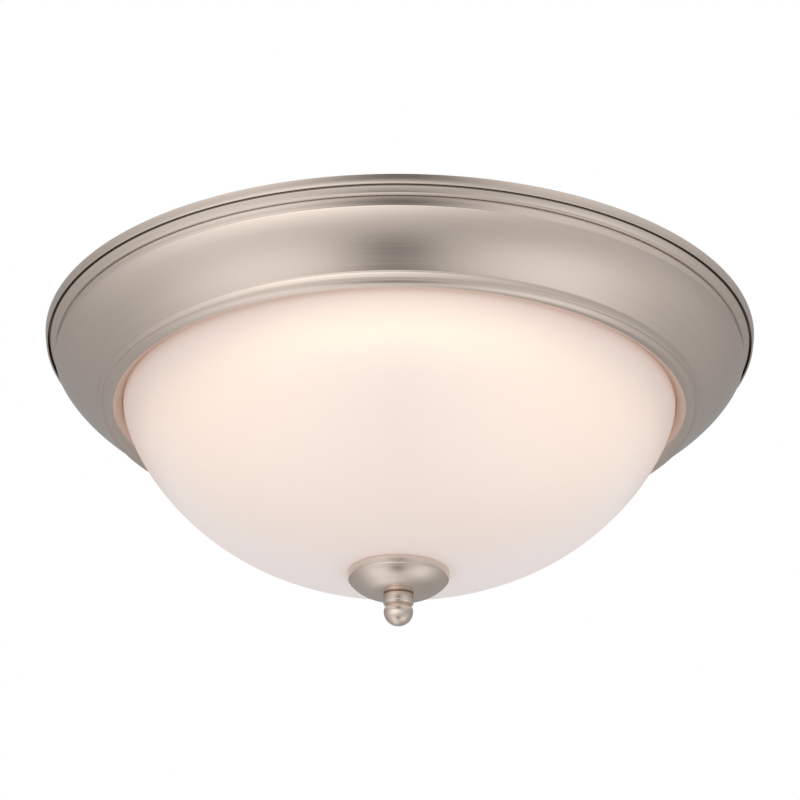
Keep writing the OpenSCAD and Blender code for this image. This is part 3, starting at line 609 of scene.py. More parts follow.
# %% [markdown]
# ## Paint, ceramic, plastic and rubber
#
# The hidden pieces have their own everyday finishes. Powder coat shows a fine orange peel, glazed
# ceramic is smooth with slow waves, vinyl and nylon are duller, and the bulb's dome is frosted.

# %% Other plain finishes
white_coat = grained("white_powder_coat", (0.8, 0.8, 0.78), 0.42, 1500.0, depth=2e-5, shade=0.02)
earth_green = ridged(
    "earth_screw_green", (0.05, 0.3, 0.1), 0.38, SCREW_PITCH, depth=2e-4, spread=0.06, shade=0.1
)
ceramic = grained(
    "glazed_ceramic", (0.83, 0.81, 0.76), 0.18, 180.0, depth=6e-5, shade=0.03, Coat_Weight=0.5
)
black_nylon = grained("black_nylon", (0.02, 0.02, 0.02), 0.45, 1600.0, depth=1e-5, spread=0.08, shade=0.2)
black_vinyl = grained("black_vinyl", (0.018, 0.018, 0.02), 0.38, 600.0, depth=1e-5, spread=0.08, shade=0.2)
white_vinyl = grained("white_vinyl", (0.78, 0.77, 0.73), 0.4, 600.0, depth=1e-5, spread=0.08, shade=0.04)
nut_orange = grained("wire_nut_orange", (0.75, 0.17, 0.02), 0.36, 1200.0, depth=1e-5, spread=0.06)
nut_yellow = grained("wire_nut_yellow", (0.78, 0.5, 0.03), 0.36, 1200.0, depth=1e-5, spread=0.06)
nut_green = grained("wire_nut_green", (0.03, 0.24, 0.07), 0.36, 1200.0, depth=1e-5, spread=0.06)
bulb_white = grained("bulb_white", (0.82, 0.82, 0.8), 0.32, 500.0, depth=6e-6, shade=0.02)
board_white = grained("board_white", (0.8, 0.8, 0.76), 0.4, 800.0, depth=8e-6, spread=0.08, shade=0.04)
natural_rubber = grained("natural_rubber", (0.68, 0.64, 0.54), 0.55, 900.0, depth=1e-5, spread=0.08)
glass_fibre = finish(
    "glass_fibre", (0.8, 0.68, 0.36), 0.85, FELTED_FIBRES, {"Fibres per metre": 1400.0},
    depth=5e-4, spread=0.08, shade=0.22, Sheen_Weight=0.2
)
print(len(bpy.data.materials), "materials so far")

# %% [markdown]
# ## Lit glass
#
# The bowl is opal glass, etched on the outside: light from the bulbs spreads in it until no bulb
# shows, and what is left is a warm bloom where they are nearest, over a white that the room lights.
# Tracing light through real opal glass would be slow and noisy, so the whole glow is painted light:
# an emission worked out from the place on the glass, with a bloom in a band level with the bulbs,
# brightest in the middle of each side, with a softer lobe on both sides of it. Where the glass turns
# away from the eye, its lamplit depth counts less and its etched skin more, so it gets cooler. By
# the pan a painted shadow darkens it, and round the cap a painted shade makes it a little darker.

# %% Curves for the bloom and the shade
def bell(tree, value, middle, width):
    """A bell curve: exp(-((value - middle) / width)^2)."""
    away = calc(tree, "DIVIDE", calc(tree, "SUBTRACT", value, middle), width)
    return calc(tree, "EXPONENT", calc(tree, "MULTIPLY", calc(tree, "MULTIPLY", away, away), -1.0))


def ramp(tree, value, start, end):
    """0 before start, 1 after end and smooth between them."""
    span = {0: value, 1: start, 2: end}
    return add(tree, "ShaderNodeMapRange", span, interpolation_type="SMOOTHSTEP").outputs[0]


# %% Bloom of the lamps and shade on the glass
# Places and widths are in metres on the glass. The skin shows by the facing, which runs from 0,
# seen square on, to 1, seen edge on.
BAND_WIDTH, BAND_LEVEL, BAND_SPREAD = 0.0725, -0.0416, 0.0133
LOBE_AT, LOBE_WIDTH, LOBE_LEVEL, LOBE_SPREAD, LOBE_SHARE = 0.0515, 0.05, -0.059, 0.036, 0.27
SKIN_FROM, SKIN_TO = 0.39, 0.79
PAN_SHADE_FROM, PAN_SHADE_TO, PAN_SHADE_LEAN = -0.0591, -0.0236, 0.0247
CAP_SHADE_R, CAP_SHADE = (CAP_R + 9.0) * MM, 0.3


def make_lamp_bloom():
    """Share of lamplight on the glass, from 0 to 1, alike from the front, the back and both sides."""
    group, given, out = new_group("lamp_bloom", {"Vector": None}, ["Glow"])
    axes = split(group, given["Vector"])
    sides = [calc(group, "ABSOLUTE", axes[axis]) for axis in (0, 1)]
    band, lobe = (calc(group, "ADD", *(bell(group, side, middle, width) for side in sides))
                  for middle, width in ((0.0, BAND_WIDTH), (LOBE_AT, LOBE_WIDTH)))
    band = calc(group, "MULTIPLY", band, bell(group, axes[2], BAND_LEVEL, BAND_SPREAD))
    lobe = calc(group, "MULTIPLY", lobe, bell(group, axes[2], LOBE_LEVEL, LOBE_SPREAD))
    group.links.new(calc(group, "ADD", band, calc(group, "MULTIPLY", lobe, LOBE_SHARE)), out["Glow"])
    return group


def lamplit(material, deep, skin, bright, shaded):
    """Painted light of the bowl: deep or skin by the facing, up to bright in the bloom, painted shade by the pan and
    cap.
    """
    tree = material.node_tree
    here = add(tree, "ShaderNodeTexCoord").outputs["Object"]
    bloom = add(tree, "ShaderNodeGroup", {0: here}, node_tree=make_lamp_bloom()).outputs[0]
    axes = split(tree, here)
    facing = add(tree, "ShaderNodeLayerWeight", {"Blend": 0.5}).outputs["Facing"]
    colour = blend_colours(tree, ramp(tree, facing, SKIN_FROM, SKIN_TO), deep, skin)
    colour = blend_colours(tree, bloom, colour, bright)
    radius = calc(tree, "SQRT", squared_radius(tree, axes))
    # Painted shade round the cap: the colour blends towards the shaded one near the cap.
    painted_cap_shade = calc(tree, "MULTIPLY", ramp(tree, radius, CAP_SHADE_R, CAP_R * MM), CAP_SHADE)
    colour = blend_colours(tree, painted_cap_shade, colour, shaded)
    # Painted shadow of the pan near the glass's edge, reaching further where the glass is seen edge on.
    leaned = calc(tree, "ADD", axes[2], calc(tree, "MULTIPLY", facing, PAN_SHADE_LEAN))
    colour = blend_colours(tree, ramp(tree, leaned, PAN_SHADE_FROM, PAN_SHADE_TO), colour, shaded)
    bsdf = tree.nodes["Principled BSDF"]
    tree.links.new(colour, bsdf.inputs["Emission Color"])
    bsdf.inputs["Emission Strength"].default_value = 1.0
    return material


# %% Opal glass and frosted bulbs
opal_glass = lamplit(
    grained("opal_glass", (0.62, 0.58, 0.56), 0.4, 2500.0, depth=3e-6, spread=0.03, shade=0.01, IOR=1.5),
    deep=(0.261, 0.187, 0.157), skin=(0.266, 0.24, 0.253),
    bright=(0.6, 0.432, 0.279), shaded=(0.235, 0.148, 0.11)
)
bulb_frost = grained(
    "bulb_frost", (0.85, 0.83, 0.79), 0.45, 1200.0, depth=6e-6, shade=0.02,
    Emission_Color=(1.0, 0.82, 0.62, 1.0), Emission_Strength=1.1
)
print("glass ready")

# %% [markdown]
# ## The pan
#
# The pan is one sheet of steel, drawn over a form: a lip that meets the ceiling, an open recess,
# a band, two ribs, a long curved body, a bead and a rolled edge that frames the glass. Inside,
# it steps up to a seat and a flat plate. The sheet's back follows its face at one thickness.

# %% Pan's profile
# The two middle controls of the body's curve set how full it is. The bead's foot, the trough and
# the roll are placed from the corner of the groove, as zooms on the photograph show them.
SHOULDER, BEAD_EDGE = np.array([SHOULDER_R, SHOULDER_Z]), np.array([BEAD_R, BEAD_Z])
GROOVE = np.array([GROOVE_R, GROOVE_Z])
BEAD_FOOT, TROUGH = GROOVE + (-0.1, 0.1), GROOVE + (-1.1, 0.4)
ROLL_LOW = np.array([ROLL_R + 4.2, ROLL_Z - 2.7])
ROLL_INSIDE, ROLL_TOP = ROLL_LOW + (-0.7, 0.4), (ROLL_R, ROLL_Z + 0.9)
LIP_BULGE, BAND_BULGE, RIB_BULGE, LOW_RIB_BULGE = SHEET / 3, BAND_H / 20, RIB_H / 24, LOW_RIB_H / 24
BEAD_BULGE, TROUGH_BULGE, ROLL_BULGE, BACK_BULGE = BEAD_H / 12, -0.15, 0.55, -ROLL_W / 8
body_curve = bezier([SHOULDER, SHOULDER + (-5.5, -9.2), BEAD_EDGE + (5.4, 4.3), BEAD_EDGE])
pan_face = np.vstack([
    [(PAN_R, 0.0)],
    arc((LIP_FOOT_R, -LIP_H), (LIP_FOOT_R - SHEET, -LIP_H), LIP_BULGE),
    [(LIP_FOOT_R - SHEET, -SHEET), (NECK_R, -SHEET)],
    arc((NECK_R + LIP_LEAN, -LIP_H), (BAND_R, BAND_Z), BAND_BULGE),
    arc((BAND_R, BAND_Z), (RIB_R, RIB_Z), RIB_BULGE)[1:],
    arc((RIB_R, RIB_Z), (RIB_R, RIB_Z - LOW_RIB_H), LOW_RIB_BULGE)[1:],
    body_curve,
    arc(BEAD_EDGE, BEAD_FOOT, BEAD_BULGE)[1:],
    arc(BEAD_FOOT, TROUGH, TROUGH_BULGE, 8)[1:],
    arc(TROUGH, ROLL_LOW, ROLL_BULGE, 20)[1:],
    [ROLL_INSIDE, ROLL_TOP, (ROLL_R, SEAT_Z), (PLATE_R, SEAT_Z), (PLATE_R - SHEET / 2, PLATE_Z)],
])
pan_back = np.vstack([
    [(PLATE_R + SHEET / 2, PLATE_TOP), (PLATE_R + SHEET, SEAT_Z + SHEET), (ROLL_R + SHEET, SEAT_Z + SHEET)],
    arc((ROLL_R + SHEET, ROLL_Z + 2 * SHEET), (GROOVE_R - SHEET, GROOVE_Z + 2 * SHEET), BACK_BULGE, 20),
    [(BEAD_R - SHEET / 2, GROOVE_Z + BEAD_H / 2)],
    offset(body_curve, -SHEET)[::-1],
    [(RIB_R - SHEET, RIB_Z), (BAND_R - SHEET, BAND_Z), (NECK_R - SHEET, -LIP_H), (NECK_R - SHEET, 0.0)],
])
pan = turned("pan_shell", softened(np.vstack([pan_face, pan_back]), 0.25), "pan", pan_nickel, steps=288)
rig.slot(pan, "satin_nickel")
print(f"pan: {len(pan.data.polygons)} faces")


# %% [markdown]
# The flat plate in the pan's middle has two keyholes, two bushing holes and a hole for the rod. No
# formula is shorter than the holes themselves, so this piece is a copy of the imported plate: the
# faces of the node that lie within the plate's radius, with their loose triangles merged.

# %% Pan's plate with its holes
def plate_of(node, radius, floor):
    """A copy of the node's mesh with only the faces inside the radius and above the floor, in mm."""
    mesh = node.data.copy()
    work = bmesh.new()
    work.from_mesh(mesh)
    outside = [face for face in work.faces
               if any(np.hypot(v.co.x, v.co.y) > radius * MM or v.co.z < floor * MM for v in face.verts)]
    bmesh.ops.delete(work, geom=outside, context="FACES")
    bmesh.ops.remove_doubles(work, verts=work.verts, dist=1e-6)
    work.to_mesh(mesh)
    work.free()
    mesh.materials.clear()
    return mesh


SLACK = 0.05
plate_mesh = plate_of(nodes["ceiling_pan"], PLATE_R + SHEET / 2 + SLACK, PLATE_Z - SLACK)
plate = place("pan_plate", plate_mesh, "pan", pan_nickel)
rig.slot(plate, "satin_nickel")
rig.replaces(pan, "ceiling_pan")
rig.replaces(plate, "ceiling_pan")
print(f"plate: {len(plate.data.polygons)} faces")

# %% [markdown]
# ## The bowl
#
# Blown into a mould, the bowl is steeper than a ball at its side and flatter at its base. Its
# profile is a curve of powers: r = R cos(a)^0.82 and z = -H sin(a)^1.46. The inner face is the
# same curve drawn in by the thickness of the glass, and both end at the hole for the rod.

# %% Bowl's profile
def bowl_curve(inset, steps=96):
    """The bowl's face, drawn in by inset, from its edge to the hole."""
    reach, drop = BOWL_R - inset, BOWL_H - inset
    last = np.arccos((BOWL_HOLE_R / reach) ** (1 / SIDE_POWER))
    angle = last * np.linspace(0, 1, steps)
    radius, depth = reach * np.cos(angle) ** SIDE_POWER, drop * np.sin(angle) ** BASE_POWER
    return np.stack([radius, CURVE_Z - depth], axis=1)


def bowl_level(radius):
    """Height of the outer face of the glass at the radius."""
    angle = np.arccos((radius / BOWL_R) ** (1 / SIDE_POWER))
    return CURVE_Z - BOWL_H * np.sin(angle) ** BASE_POWER


EDGE_Z = CURVE_Z + BOWL_EDGE
bowl_outline = np.vstack([
    [(BOWL_R, EDGE_Z)], bowl_curve(0.0), bowl_curve(BOWL_T)[::-1], [(BOWL_R - BOWL_T, EDGE_Z)]
])
bowl = turned("glass_shell", softened(bowl_outline, 0.6), "bowl", opal_glass, steps=320)
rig.replaces(bowl, "glass_bowl")
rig.slot(bowl, "opal_glass")
print(f"bowl: {len(bowl.data.polygons)} faces")

# %% [markdown]
# ## Cap and knob
#
# The cap is a shallow spun dish with an upright rim. The knob is turned from bar: a collar with
# tiny chamfers, a groove, and a rounded end whose widest place is just under the groove.

# %% Cap
CAP_GAP, RIM_LEAN, ROD_GAP = 0.2, 0.35, 0.3
CAP_TOP = bowl_level(CAP_R) - CAP_GAP
CAP_BASE = CAP_TOP - CAP_H
RIM_FOOT = (CAP_R - RIM_LEAN, CAP_TOP - CAP_RIM_H)
FLAT_R, DISH_BULGE = 7.5, 2.1
cap_outline = np.vstack([
    [(CAP_R, CAP_TOP)],
    arc(RIM_FOOT, (FLAT_R, CAP_BASE), DISH_BULGE, 40),
    [(ROD_R + ROD_GAP, CAP_BASE), (ROD_R + ROD_GAP, CAP_BASE + CAP_T)],
    arc((RIM_FOOT[0] - CAP_T, RIM_FOOT[1] + CAP_T / 2), (FLAT_R, CAP_BASE + CAP_T), DISH_BULGE, 40)[::-1],
    [(CAP_R - CAP_T, CAP_TOP)],
])
cap = turned("cap_dish", softened(cap_outline, 0.3), "cap", trim_nickel, steps=192)
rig.replaces(cap, "finial_cap")
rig.slot(cap, "satin_nickel")
print(f"cap from z {CAP_TOP:.2f} to {CAP_BASE:.2f} mm")

# %% Knob
KNOB_GAP, THREAD_GAP = 0.05, 0.05
KNOB_TOP = CAP_BASE - KNOB_GAP
COLLAR_R, COLLAR_H, GROOVE_IN = 6.78, 4.9, 0.75
BULLET_R, BULLET_H, BULLET_TOP, BORE_DEPTH = 6.55, 6.4, 3.1, 8.6
BORE_R, WAIST_R, NECK_Z = ROD_R + THREAD_GAP, COLLAR_R - GROOVE_IN, KNOB_TOP - COLLAR_H
bullet_angle = np.linspace(math.asin(BULLET_TOP / BULLET_H), -math.pi / 2, 48)
bullet_z = NECK_Z - BULLET_TOP + BULLET_H * np.sin(bullet_angle)
bullet = np.stack([BULLET_R * np.cos(bullet_angle), bullet_z], axis=1)
bullet[-1, 0] = 0.0
knob_outline = np.vstack([
    [(BORE_R, KNOB_TOP), (WAIST_R, KNOB_TOP), (WAIST_R, KNOB_TOP - GROOVE_IN / 2)],
    [(COLLAR_R, KNOB_TOP - GROOVE_IN / 2), (COLLAR_R, NECK_Z + GROOVE_IN), (WAIST_R, NECK_Z)],
    bullet,
    [(0.0, KNOB_TOP - BORE_DEPTH), (BORE_R, KNOB_TOP - BORE_DEPTH)],
])
knob = turned("knob_turned", softened(knob_outline, 0.2), "knob", trim_nickel, steps=128)
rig.replaces(knob, "finial_knob")
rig.slot(knob, "satin_nickel")
print(f"knob down to z {knob_outline[:, 1].min():.2f} mm")

# %% [markdown]
# ## Rod and its thread
#
# The rod is threaded over its whole length, 27 turns to the inch. A real thread is a helix, so its
# surface is a function of height and angle: the radius follows a triangle wave of z / pitch plus
# one turn of phase for each turn of angle.

# %% Threads
def threaded(name, radius, depth, pitch, start, end, body, material, columns=24, rows_per_turn=6):
    """r = radius - depth * wave(z / pitch + angle / 2 pi), where wave runs from 0 to 1 and back."""
    rows = int((end - start) / pitch * rows_per_turn) + 1
    z = np.linspace(start, end, rows)[:, None]
    angle = np.linspace(0, 2 * np.pi, columns, endpoint=False)[None, :]
    phase = (z / pitch + angle / (2 * np.pi)) % 1.0
    r = radius - depth * np.abs(2 * phase - 1)
    points = np.stack([r * np.cos(angle), r * np.sin(angle), np.broadcast_to(z, r.shape)], axis=-1)
    return grid_piece(name, points, body, material, caps=True, sharp=60.0)


WASHER_T, NUT_H, ROD_TAIL, ROD_GRIP = 1.0, 4.0, 2.1, 7.6
THREAD_DEPTH, THREAD_PITCH = 0.35, 25.4 / 27
ROD_TOP = PLATE_TOP + WASHER_T + NUT_H + ROD_TAIL
ROD_END = KNOB_TOP - ROD_GRIP
rod = threaded("rod_thread", ROD_R, THREAD_DEPTH, THREAD_PITCH, ROD_END, ROD_TOP, "pan", zinc)
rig.replaces(rod, "center_rod")
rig.slot(rod, "zinc_steel")
print(f"rod: {len(rod.data.polygons)} faces")

# %% [markdown]
# ## Leads
#
# Each socket has a black and a white lead, stiff vinyl round stranded wire. The pair leaves the
# socket's back, turns up through a rubber-lined hole in the plate and runs on to the wire nuts.
# A tube is a circle carried along the route, and its frame is turned as little as the route allows,
# because a frame with a fixed side would flip where the route doubles back.

# %% Routes of the leads
# A lead is drawn beside one lamp, whose bulb points along x, and turned into its place with it.
LAMP_TURN = -33.158
LEAD_R, PAIR_GAP, BUSHING_AT = 1.1, 1.6, (-30.0, 14.0)
NUT_ALONG, NUT_HEIGHT, NUT_MOUTH, NUT_LIFT, WIRE_GAP = 24.0, -15.4, 4.0, 1.4, 1.3
SOCKET_BACK, SOCKET_V, SOCKET_Z, PIN_GAP = -25.0, 22.975, -57.0, 4.0
LEAD_IN, LEAD_STUB, BEND_OUT, BEND_SPREAD, BEND_DROP = 3, 2, 13.0, 3.0, 18
UNDER_PLATE, OVER_PLATE, LOOP_TOP, FAR_HANDLE, NEAR_HANDLE = 2, 1.4, 2, 42, 20


def in_bushing(side, height):
    """The point of a lead in the bushing at the height, on its side of the pair."""
    return np.array([BUSHING_AT[0] + side * PAIR_GAP, BUSHING_AT[1], height])


def from_socket(side):
    """From the back of the socket to just under the plate."""
    back = np.array([SOCKET_BACK, SOCKET_V, SOCKET_Z + side * PIN_GAP])
    bend = back - (BEND_OUT - BEND_SPREAD * side, 0, 0)
    low, high = in_bushing(side, PLATE_Z - BEND_DROP), in_bushing(side, PLATE_Z - UNDER_PLATE)
    return np.vstack([[back + (LEAD_IN, 0, 0)], bezier([back - (LEAD_STUB, 0, 0), bend, low, high], 36)])


def to_nut(side, far):
    """From just over the plate to the wire nut: straight there, or round behind it on the far lead."""
    start = in_bushing(side, PLATE_TOP + OVER_PLATE)
    if far:
        end = np.array([NUT_MOUTH, side * WIRE_GAP - NUT_ALONG, NUT_HEIGHT])
        return bezier([start, (BUSHING_AT[0], 0, LOOP_TOP), end + (FAR_HANDLE, 0, LOOP_TOP), end], 60)
    end = np.array([-NUT_MOUTH, side * WIRE_GAP + NUT_ALONG, NUT_HEIGHT])
    return bezier([start, in_bushing(side, NUT_HEIGHT + NUT_LIFT), end - (NEAR_HANDLE, 0, 0), end], 36)


def lead_route(side, far):
    """The whole way of a lead."""
    return np.vstack([from_socket(side), to_nut(side, far)])


# %% Tubes along the routes
def tube(name, routes, radius, body, material, columns=16):
    """Circles of the radius round each route: p = route + radius (cos a * side + sin a * up)."""
    pieces = []
    angle = np.linspace(0, 2 * np.pi, columns, endpoint=False)[:, None]
    for number, (lamp, route) in enumerate(routes):
        turn = math.radians(LAMP_TURN + 180 * lamp)
        cosine, sine = math.cos(turn), math.sin(turn)
        route = route @ np.array([[cosine, sine, 0], [-sine, cosine, 0], [0, 0, 1]])
        way = np.gradient(route, axis=0)
        way /= np.linalg.norm(way, axis=1)[:, None]
        side = np.cross(way[0], (0.3, 0.5, 0.81))
        rings = []
        for point, ahead in zip(route, way):
            side = side - ahead * (side @ ahead)
            side /= np.linalg.norm(side)
            rings.append(point + radius * (np.cos(angle) * side + np.sin(angle) * np.cross(ahead, side)))
        rings = np.array(rings)
        pieces.append(grid_piece(f"{name}_{number + 1}", rings, body, material, caps=True, sharp=60.0))
    return pieces


LEAD_ROUTES = {
    "black": (black_vinyl, [(0, lead_route(1, far=False)), (1, lead_route(1, far=True))]),
    "white": (white_vinyl, [(1, lead_route(-1, far=False)), (0, lead_route(-1, far=True))]),
}
for colour, (material, routes) in LEAD_ROUTES.items():
    for lead in tube(colour + "_lead", routes, LEAD_R, "pan", material):
        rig.replaces(lead, colour + "_leads")
        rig.slot(lead, "lead_" + colour)
        print(f"{lead.name}: {len(lead.data.polygons)} faces")

# %% [markdown]
# ## Insulation pad
#
# A ring of glass fibre lies on the back of the plate and keeps the lamps' heat from the ceiling. It
# was punched from a blanket: its two walls are steep but torn, its upper face is soft and uneven,
# and only its underside is flat. The section is a superellipse, |x|^n + |z|^n = 1, which goes from
# a ball to a box as n grows: x and z are cos t and sin t to the power 2 / n. Sums of sines in
# random directions pull its surface in.

# %% Lumps and pad
PAD_IN_R, PAD_OUT_R, PAD_H, PAD_BASE = 62.0, 112.2, 12.0, PLATE_TOP
BOX_POWER = 0.3
LUMP_DEPTH, LUMP_SIZE, LUMP_SEED = 3.4, 26.0, 5
TUFT_DEPTH, TUFT_SIZE, TUFT_SEED = 0.7, 3.0, 6


def lumps(points, size, seed, waves=48, shortest=0.6, longest=1.7):
    """0 to 1: the mean of sines whose directions are random and whose lengths are near size, in mm."""
    draw = np.random.default_rng(seed)
    ways = draw.normal(size=(waves, 3))
    lengths = size * draw.uniform(shortest, longest, waves)
    ways *= (2 * np.pi / lengths / np.linalg.norm(ways, axis=1))[:, None]
    total = np.sin(points @ ways.T + draw.uniform(0, 2 * np.pi, waves)).sum(axis=-1)
    return np.clip(0.5 + total / (4 * np.sqrt(waves / 2)), 0, 1)


def blanket_ring(rows=72, columns=540):
    """The superellipse swept round Z and pulled towards its middle line by slow lumps and small tufts."""
    t = np.linspace(0, 2 * np.pi, rows, endpoint=False)[:, None]
    angle = np.linspace(0, 2 * np.pi, columns, endpoint=False)[None, :]
    out = np.sign(np.cos(t)) * np.abs(np.cos(t)) ** BOX_POWER
    up = np.sign(np.sin(t)) * np.abs(np.sin(t)) ** BOX_POWER
    middle, half = (PAD_IN_R + PAD_OUT_R) / 2, (PAD_OUT_R - PAD_IN_R) / 2
    radius = np.broadcast_to(middle + half * out, (rows, columns))
    height = np.broadcast_to(PAD_BASE + PAD_H / 2 * (1 + up), (rows, columns))
    skin = np.stack([radius * np.cos(angle), radius * np.sin(angle), height], axis=-1)
    pull = LUMP_DEPTH * lumps(skin, LUMP_SIZE, LUMP_SEED) + TUFT_DEPTH * lumps(skin, TUFT_SIZE, TUFT_SEED)
    radius = radius - pull * out
    height = height - pull * np.maximum(up, 0)
    return np.stack([radius * np.cos(angle), radius * np.sin(angle), height], axis=-1)


pad = grid_piece("fibre_pad", blanket_ring(), "pan", glass_fibre, close_rows=True, sharp=180.0)
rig.replaces(pad, "insulation_pad")
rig.slot(pad, "fibre")
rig.padded(pad, fill=0.3)
print(f"pad: {len(pad.data.polygons)} faces")

# %% [markdown]
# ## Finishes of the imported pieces
#
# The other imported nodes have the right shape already. Each one takes the finish of its material.

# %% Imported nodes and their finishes
NODE_FINISH = {
    zinc: ["mounting_strap", "rod_top_nut", "rod_bottom_nut", "rod_spring_washer", "socket_screws"],
    zinc_thread: ["hanging_screws"],
    earth_green: ["earth_screw", "pan_earth_screw"],
    white_coat: ["lamp_bracket"],
    ceramic: ["socket_right", "socket_left"],
    brass: ["screw_shell_right", "screw_shell_left", "spring_contact_right", "spring_contact_left"],
    black_nylon: ["wire_bushings", "bulb_insulator_right", "bulb_insulator_left"],
    copper: ["earth_lead"],
    nut_orange: ["black_wire_nut"],
    nut_yellow: ["white_wire_nut"],
    nut_green: ["earth_wire_nut"],
    bulb_frost: ["bulb_dome_right", "bulb_dome_left"],
    board_white: ["bulb_board_right", "bulb_board_left"],
    bulb_white: ["bulb_housing_right", "bulb_housing_left"],
    aluminium: ["bulb_base_right", "bulb_base_left", "bulb_button_right", "bulb_button_left"],
    natural_rubber: ["bowl_grommet"],
}
for material, names in NODE_FINISH.items():
    for name in names:
        nodes[name].data.materials.clear()
        nodes[name].data.materials.append(material)
print(sum(map(len, NODE_FINISH.values())), "packed nodes dressed")

# %% [markdown]
# ## The studio
#
# The photograph looks as if it was taken in a tent of white scrim with soft boxes outside it. The
# cloth glows where they are near, and satin metal mirrors it as slow bands from light to dark,
# while paint and glass only feel the mean of it. So the tent is made for reflections alone, and
# the world and one weak lamp light the rest. The white backdrop is the world itself, which is full
# white for the camera, gloss and transmission and a little darker as a lamp.

# %% World
world = bpy.data.worlds.new("studio")
bpy.context.scene.world = world
world.use_nodes = True
sky = world.node_tree
SKY_LEVEL = 0.8
path = add(sky, "ShaderNodeLightPath").outputs
mirrored = calc(sky, "MAXIMUM", path["Is Glossy Ray"], path["Is Transmission Ray"])
seen = calc(sky, "MAXIMUM", path["Is Camera Ray"], mirrored)
sky.links.new(calc(sky, "MAXIMUM", seen, SKY_LEVEL), sky.nodes["Background"].inputs["Strength"])
sky.nodes["Background"].inputs["Color"].default_value = (1, 1, 1, 1)
bpy.context.scene.view_settings.view_transform = "Standard"
print("world at", SKY_LEVEL)

# %% Sheets of the studio
def stage_piece(name, points, material):
    """A sheet from points[row, column] in metres that belongs to the studio and not to the light."""
    rows, columns = points.shape[:2]
    index = np.arange(rows * columns).reshape(rows, columns)
    quads = np.stack([index[:-1, :-1], index[:-1, 1:], index[1:, 1:], index[1:, :-1]], axis=-1)
    mesh = bpy.data.meshes.new(name)
    mesh.from_pydata(points.reshape(-1, 3).tolist(), [], quads.reshape(-1, 4).tolist())
    mesh.materials.append(material)
    piece = bpy.data.objects.new(name, mesh)
    bpy.context.collection.objects.link(piece)
    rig.stage(piece)
    return piece


# %% Cloth that glows
def toward(side, up):
    """Unit vector at the angle side, from the front to the right, and up over the horizon."""
    side, up = math.radians(side), math.radians(up)
    return np.array([math.sin(side) * math.cos(up), -math.cos(side) * math.cos(up), math.sin(up)])


def scrim_material(radius, middle, base, boxes):
    """Level of the cloth: base plus level * exp(-(across / width)^2 - (up / height)^2) for each box."""
    material = bpy.data.materials.new("scrim")
    material.use_nodes = True
    tree = material.node_tree
    tree.nodes.remove(tree.nodes["Principled BSDF"])
    here = add(tree, "ShaderNodeTexCoord").outputs["Object"]
    total = base
    for side, up, level, width, height in boxes:
        centre = radius * toward(side, up) + (0, 0, middle)
        scale = (1 / (radius * width), 1 / (radius * width), 1 / (radius * height))
        away = calc_vector(tree, "MULTIPLY", calc_vector(tree, "SUBTRACT", here, centre), scale)
        square = add(tree, "ShaderNodeVectorMath", {0: away, 1: away}, operation="DOT_PRODUCT")
        glow = calc(tree, "EXPONENT", calc(tree, "MULTIPLY", square.outputs["Value"], -1.0))
        total = calc(tree, "ADD", total, calc(tree, "MULTIPLY", glow, level))
    total = calc(tree, "MAXIMUM", total, 0.0)
    glowing = add(tree, "ShaderNodeEmission", {"Color": (1, 1, 1, 1), "Strength": total}).outputs[0]
    tree.links.new(glowing, tree.nodes["Material Output"].inputs["Surface"])
    return material


# %% Lighting plan
# Each line is (side, up, level, width, height): degrees from the front to the right and over the
# horizon, how much light it adds to the cloth or, as a flag, takes away, and its two widths as
# shares of the tent's radius. The plan was fitted to the bands on the photographed metal and
# rounded.
SOFT_BOXES = {
    "key, low in front on the left": (-27, -10, 1.2, 0.91, 0.49),
    "second key, over the camera": (14, 18, 0.69, 0.73, 0.33),
    "wide strip on the right": (90, -19, 0.08, 1.3, 0.26),
    "bounce from the floor on the right": (87, -59, 0.61, 0.41, 0.58),
    "high on the left": (-54, 39, 0.65, 0.7, 0.26),
    "high on the right": (80, 26, 0.22, 0.58, 0.32),
    "bounce from the floor on the left": (-91, -66, 0.65, 0.46, 0.38),
    "tall strip behind": (-162, -58, 0.44, 0.23, 1.0),
}
DARK_FLAGS = {
    "under the light": (-5, -72, -0.5, 0.18, 0.6),
    "level with the light, on the left": (-35, 5, -0.4, 0.63, 0.15),
    "level with the light, in front": (2, 10, -1.0, 0.54, 0.28),
    "over the camera": (0, 27, -0.6, 0.33, 0.24),
}
TENT_R, TENT_Z, TENT_LEVEL = 1.3, -0.06, 0.349
plan = [*SOFT_BOXES.values(), *DARK_FLAGS.values()]

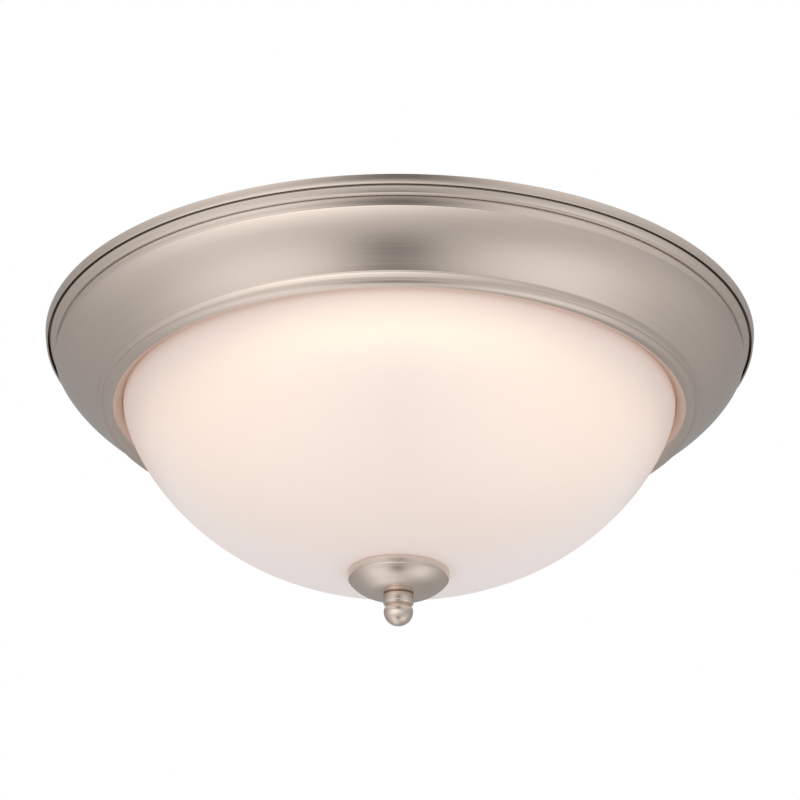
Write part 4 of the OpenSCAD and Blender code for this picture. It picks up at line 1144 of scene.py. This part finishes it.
# %% Tent of scrim
# The tent is a ball whose rows and columns lie 5 degrees apart.
around = np.radians(np.linspace(0, 360, 73))[None, :]
over = np.radians(np.linspace(-90, 90, 37))[:, None]
ball = np.broadcast_arrays(np.cos(around) * np.cos(over), np.sin(around) * np.cos(over), np.sin(over))
tent_points = TENT_R * np.stack(ball, axis=-1) + (0, 0, TENT_Z)
tent = stage_piece("tent", tent_points, scrim_material(TENT_R, TENT_Z, TENT_LEVEL, plan))
tent.visible_camera = tent.visible_diffuse = tent.visible_transmission = tent.visible_shadow = False
print(len(SOFT_BOXES), "soft boxes and", len(DARK_FLAGS), "flags on the tent")

# %% Floor
# The photograph's camera looks up and never sees the floor. It lies far enough down for a camera
# that looks at the light steeply from below.
FLOOR_REACH, FLOOR_Z, FLOOR_COLOUR, FLOOR_ROUGHNESS = 4.1, -2.4, (0.86, 0.85, 0.84, 1), 0.7
floor_material = bpy.data.materials.new("pale_floor")
floor_material.use_nodes = True
floor_shader = floor_material.node_tree.nodes["Principled BSDF"]
floor_shader.inputs["Base Color"].default_value = FLOOR_COLOUR
floor_shader.inputs["Roughness"].default_value = FLOOR_ROUGHNESS
sides = [-FLOOR_REACH, FLOOR_REACH]
floor_points = np.stack(np.meshgrid(sides, sides, [FLOOR_Z]), axis=-1).reshape(2, 2, 3)
stage_piece("floor", floor_points, floor_material)
print("floor at", FLOOR_Z)

# %% Lamp
KEY_AT, KEY_SIZE, KEY_POWER, KEY_FACES = (0.12, -1.5, -0.75), 1.1, 6.0, (0.0, 0.0, -0.06)


def soft_light(name, at, size, power, facing):
    """A square area light that faces a point."""
    data = bpy.data.lights.new(name, "AREA")
    data.size = size
    data.energy = power
    light = bpy.data.objects.new(name, data)
    bpy.context.collection.objects.link(light)
    ahead = np.array(facing) - np.array(at)
    level, up = math.hypot(ahead[0], ahead[1]), ahead[2]
    light.location = at
    light.rotation_euler = (math.atan2(level, -up), 0.0, math.atan2(ahead[1], ahead[0]) - math.pi / 2)
    light.visible_camera = light.visible_glossy = False
    return light


soft_light("key", KEY_AT, KEY_SIZE, KEY_POWER, KEY_FACES)
print("studio ready")

# %% [markdown]
# ## Sizes
#
# The dressed light must keep the size of the imported part, so both boxes are written side by side.

# %% Boxes and finish
with open("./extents.json", "w") as file:
    json.dump({"cad": cad_box, "visual": [[float(v) for v in corner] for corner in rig.bounds()]}, file)
print(open("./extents.json").read())
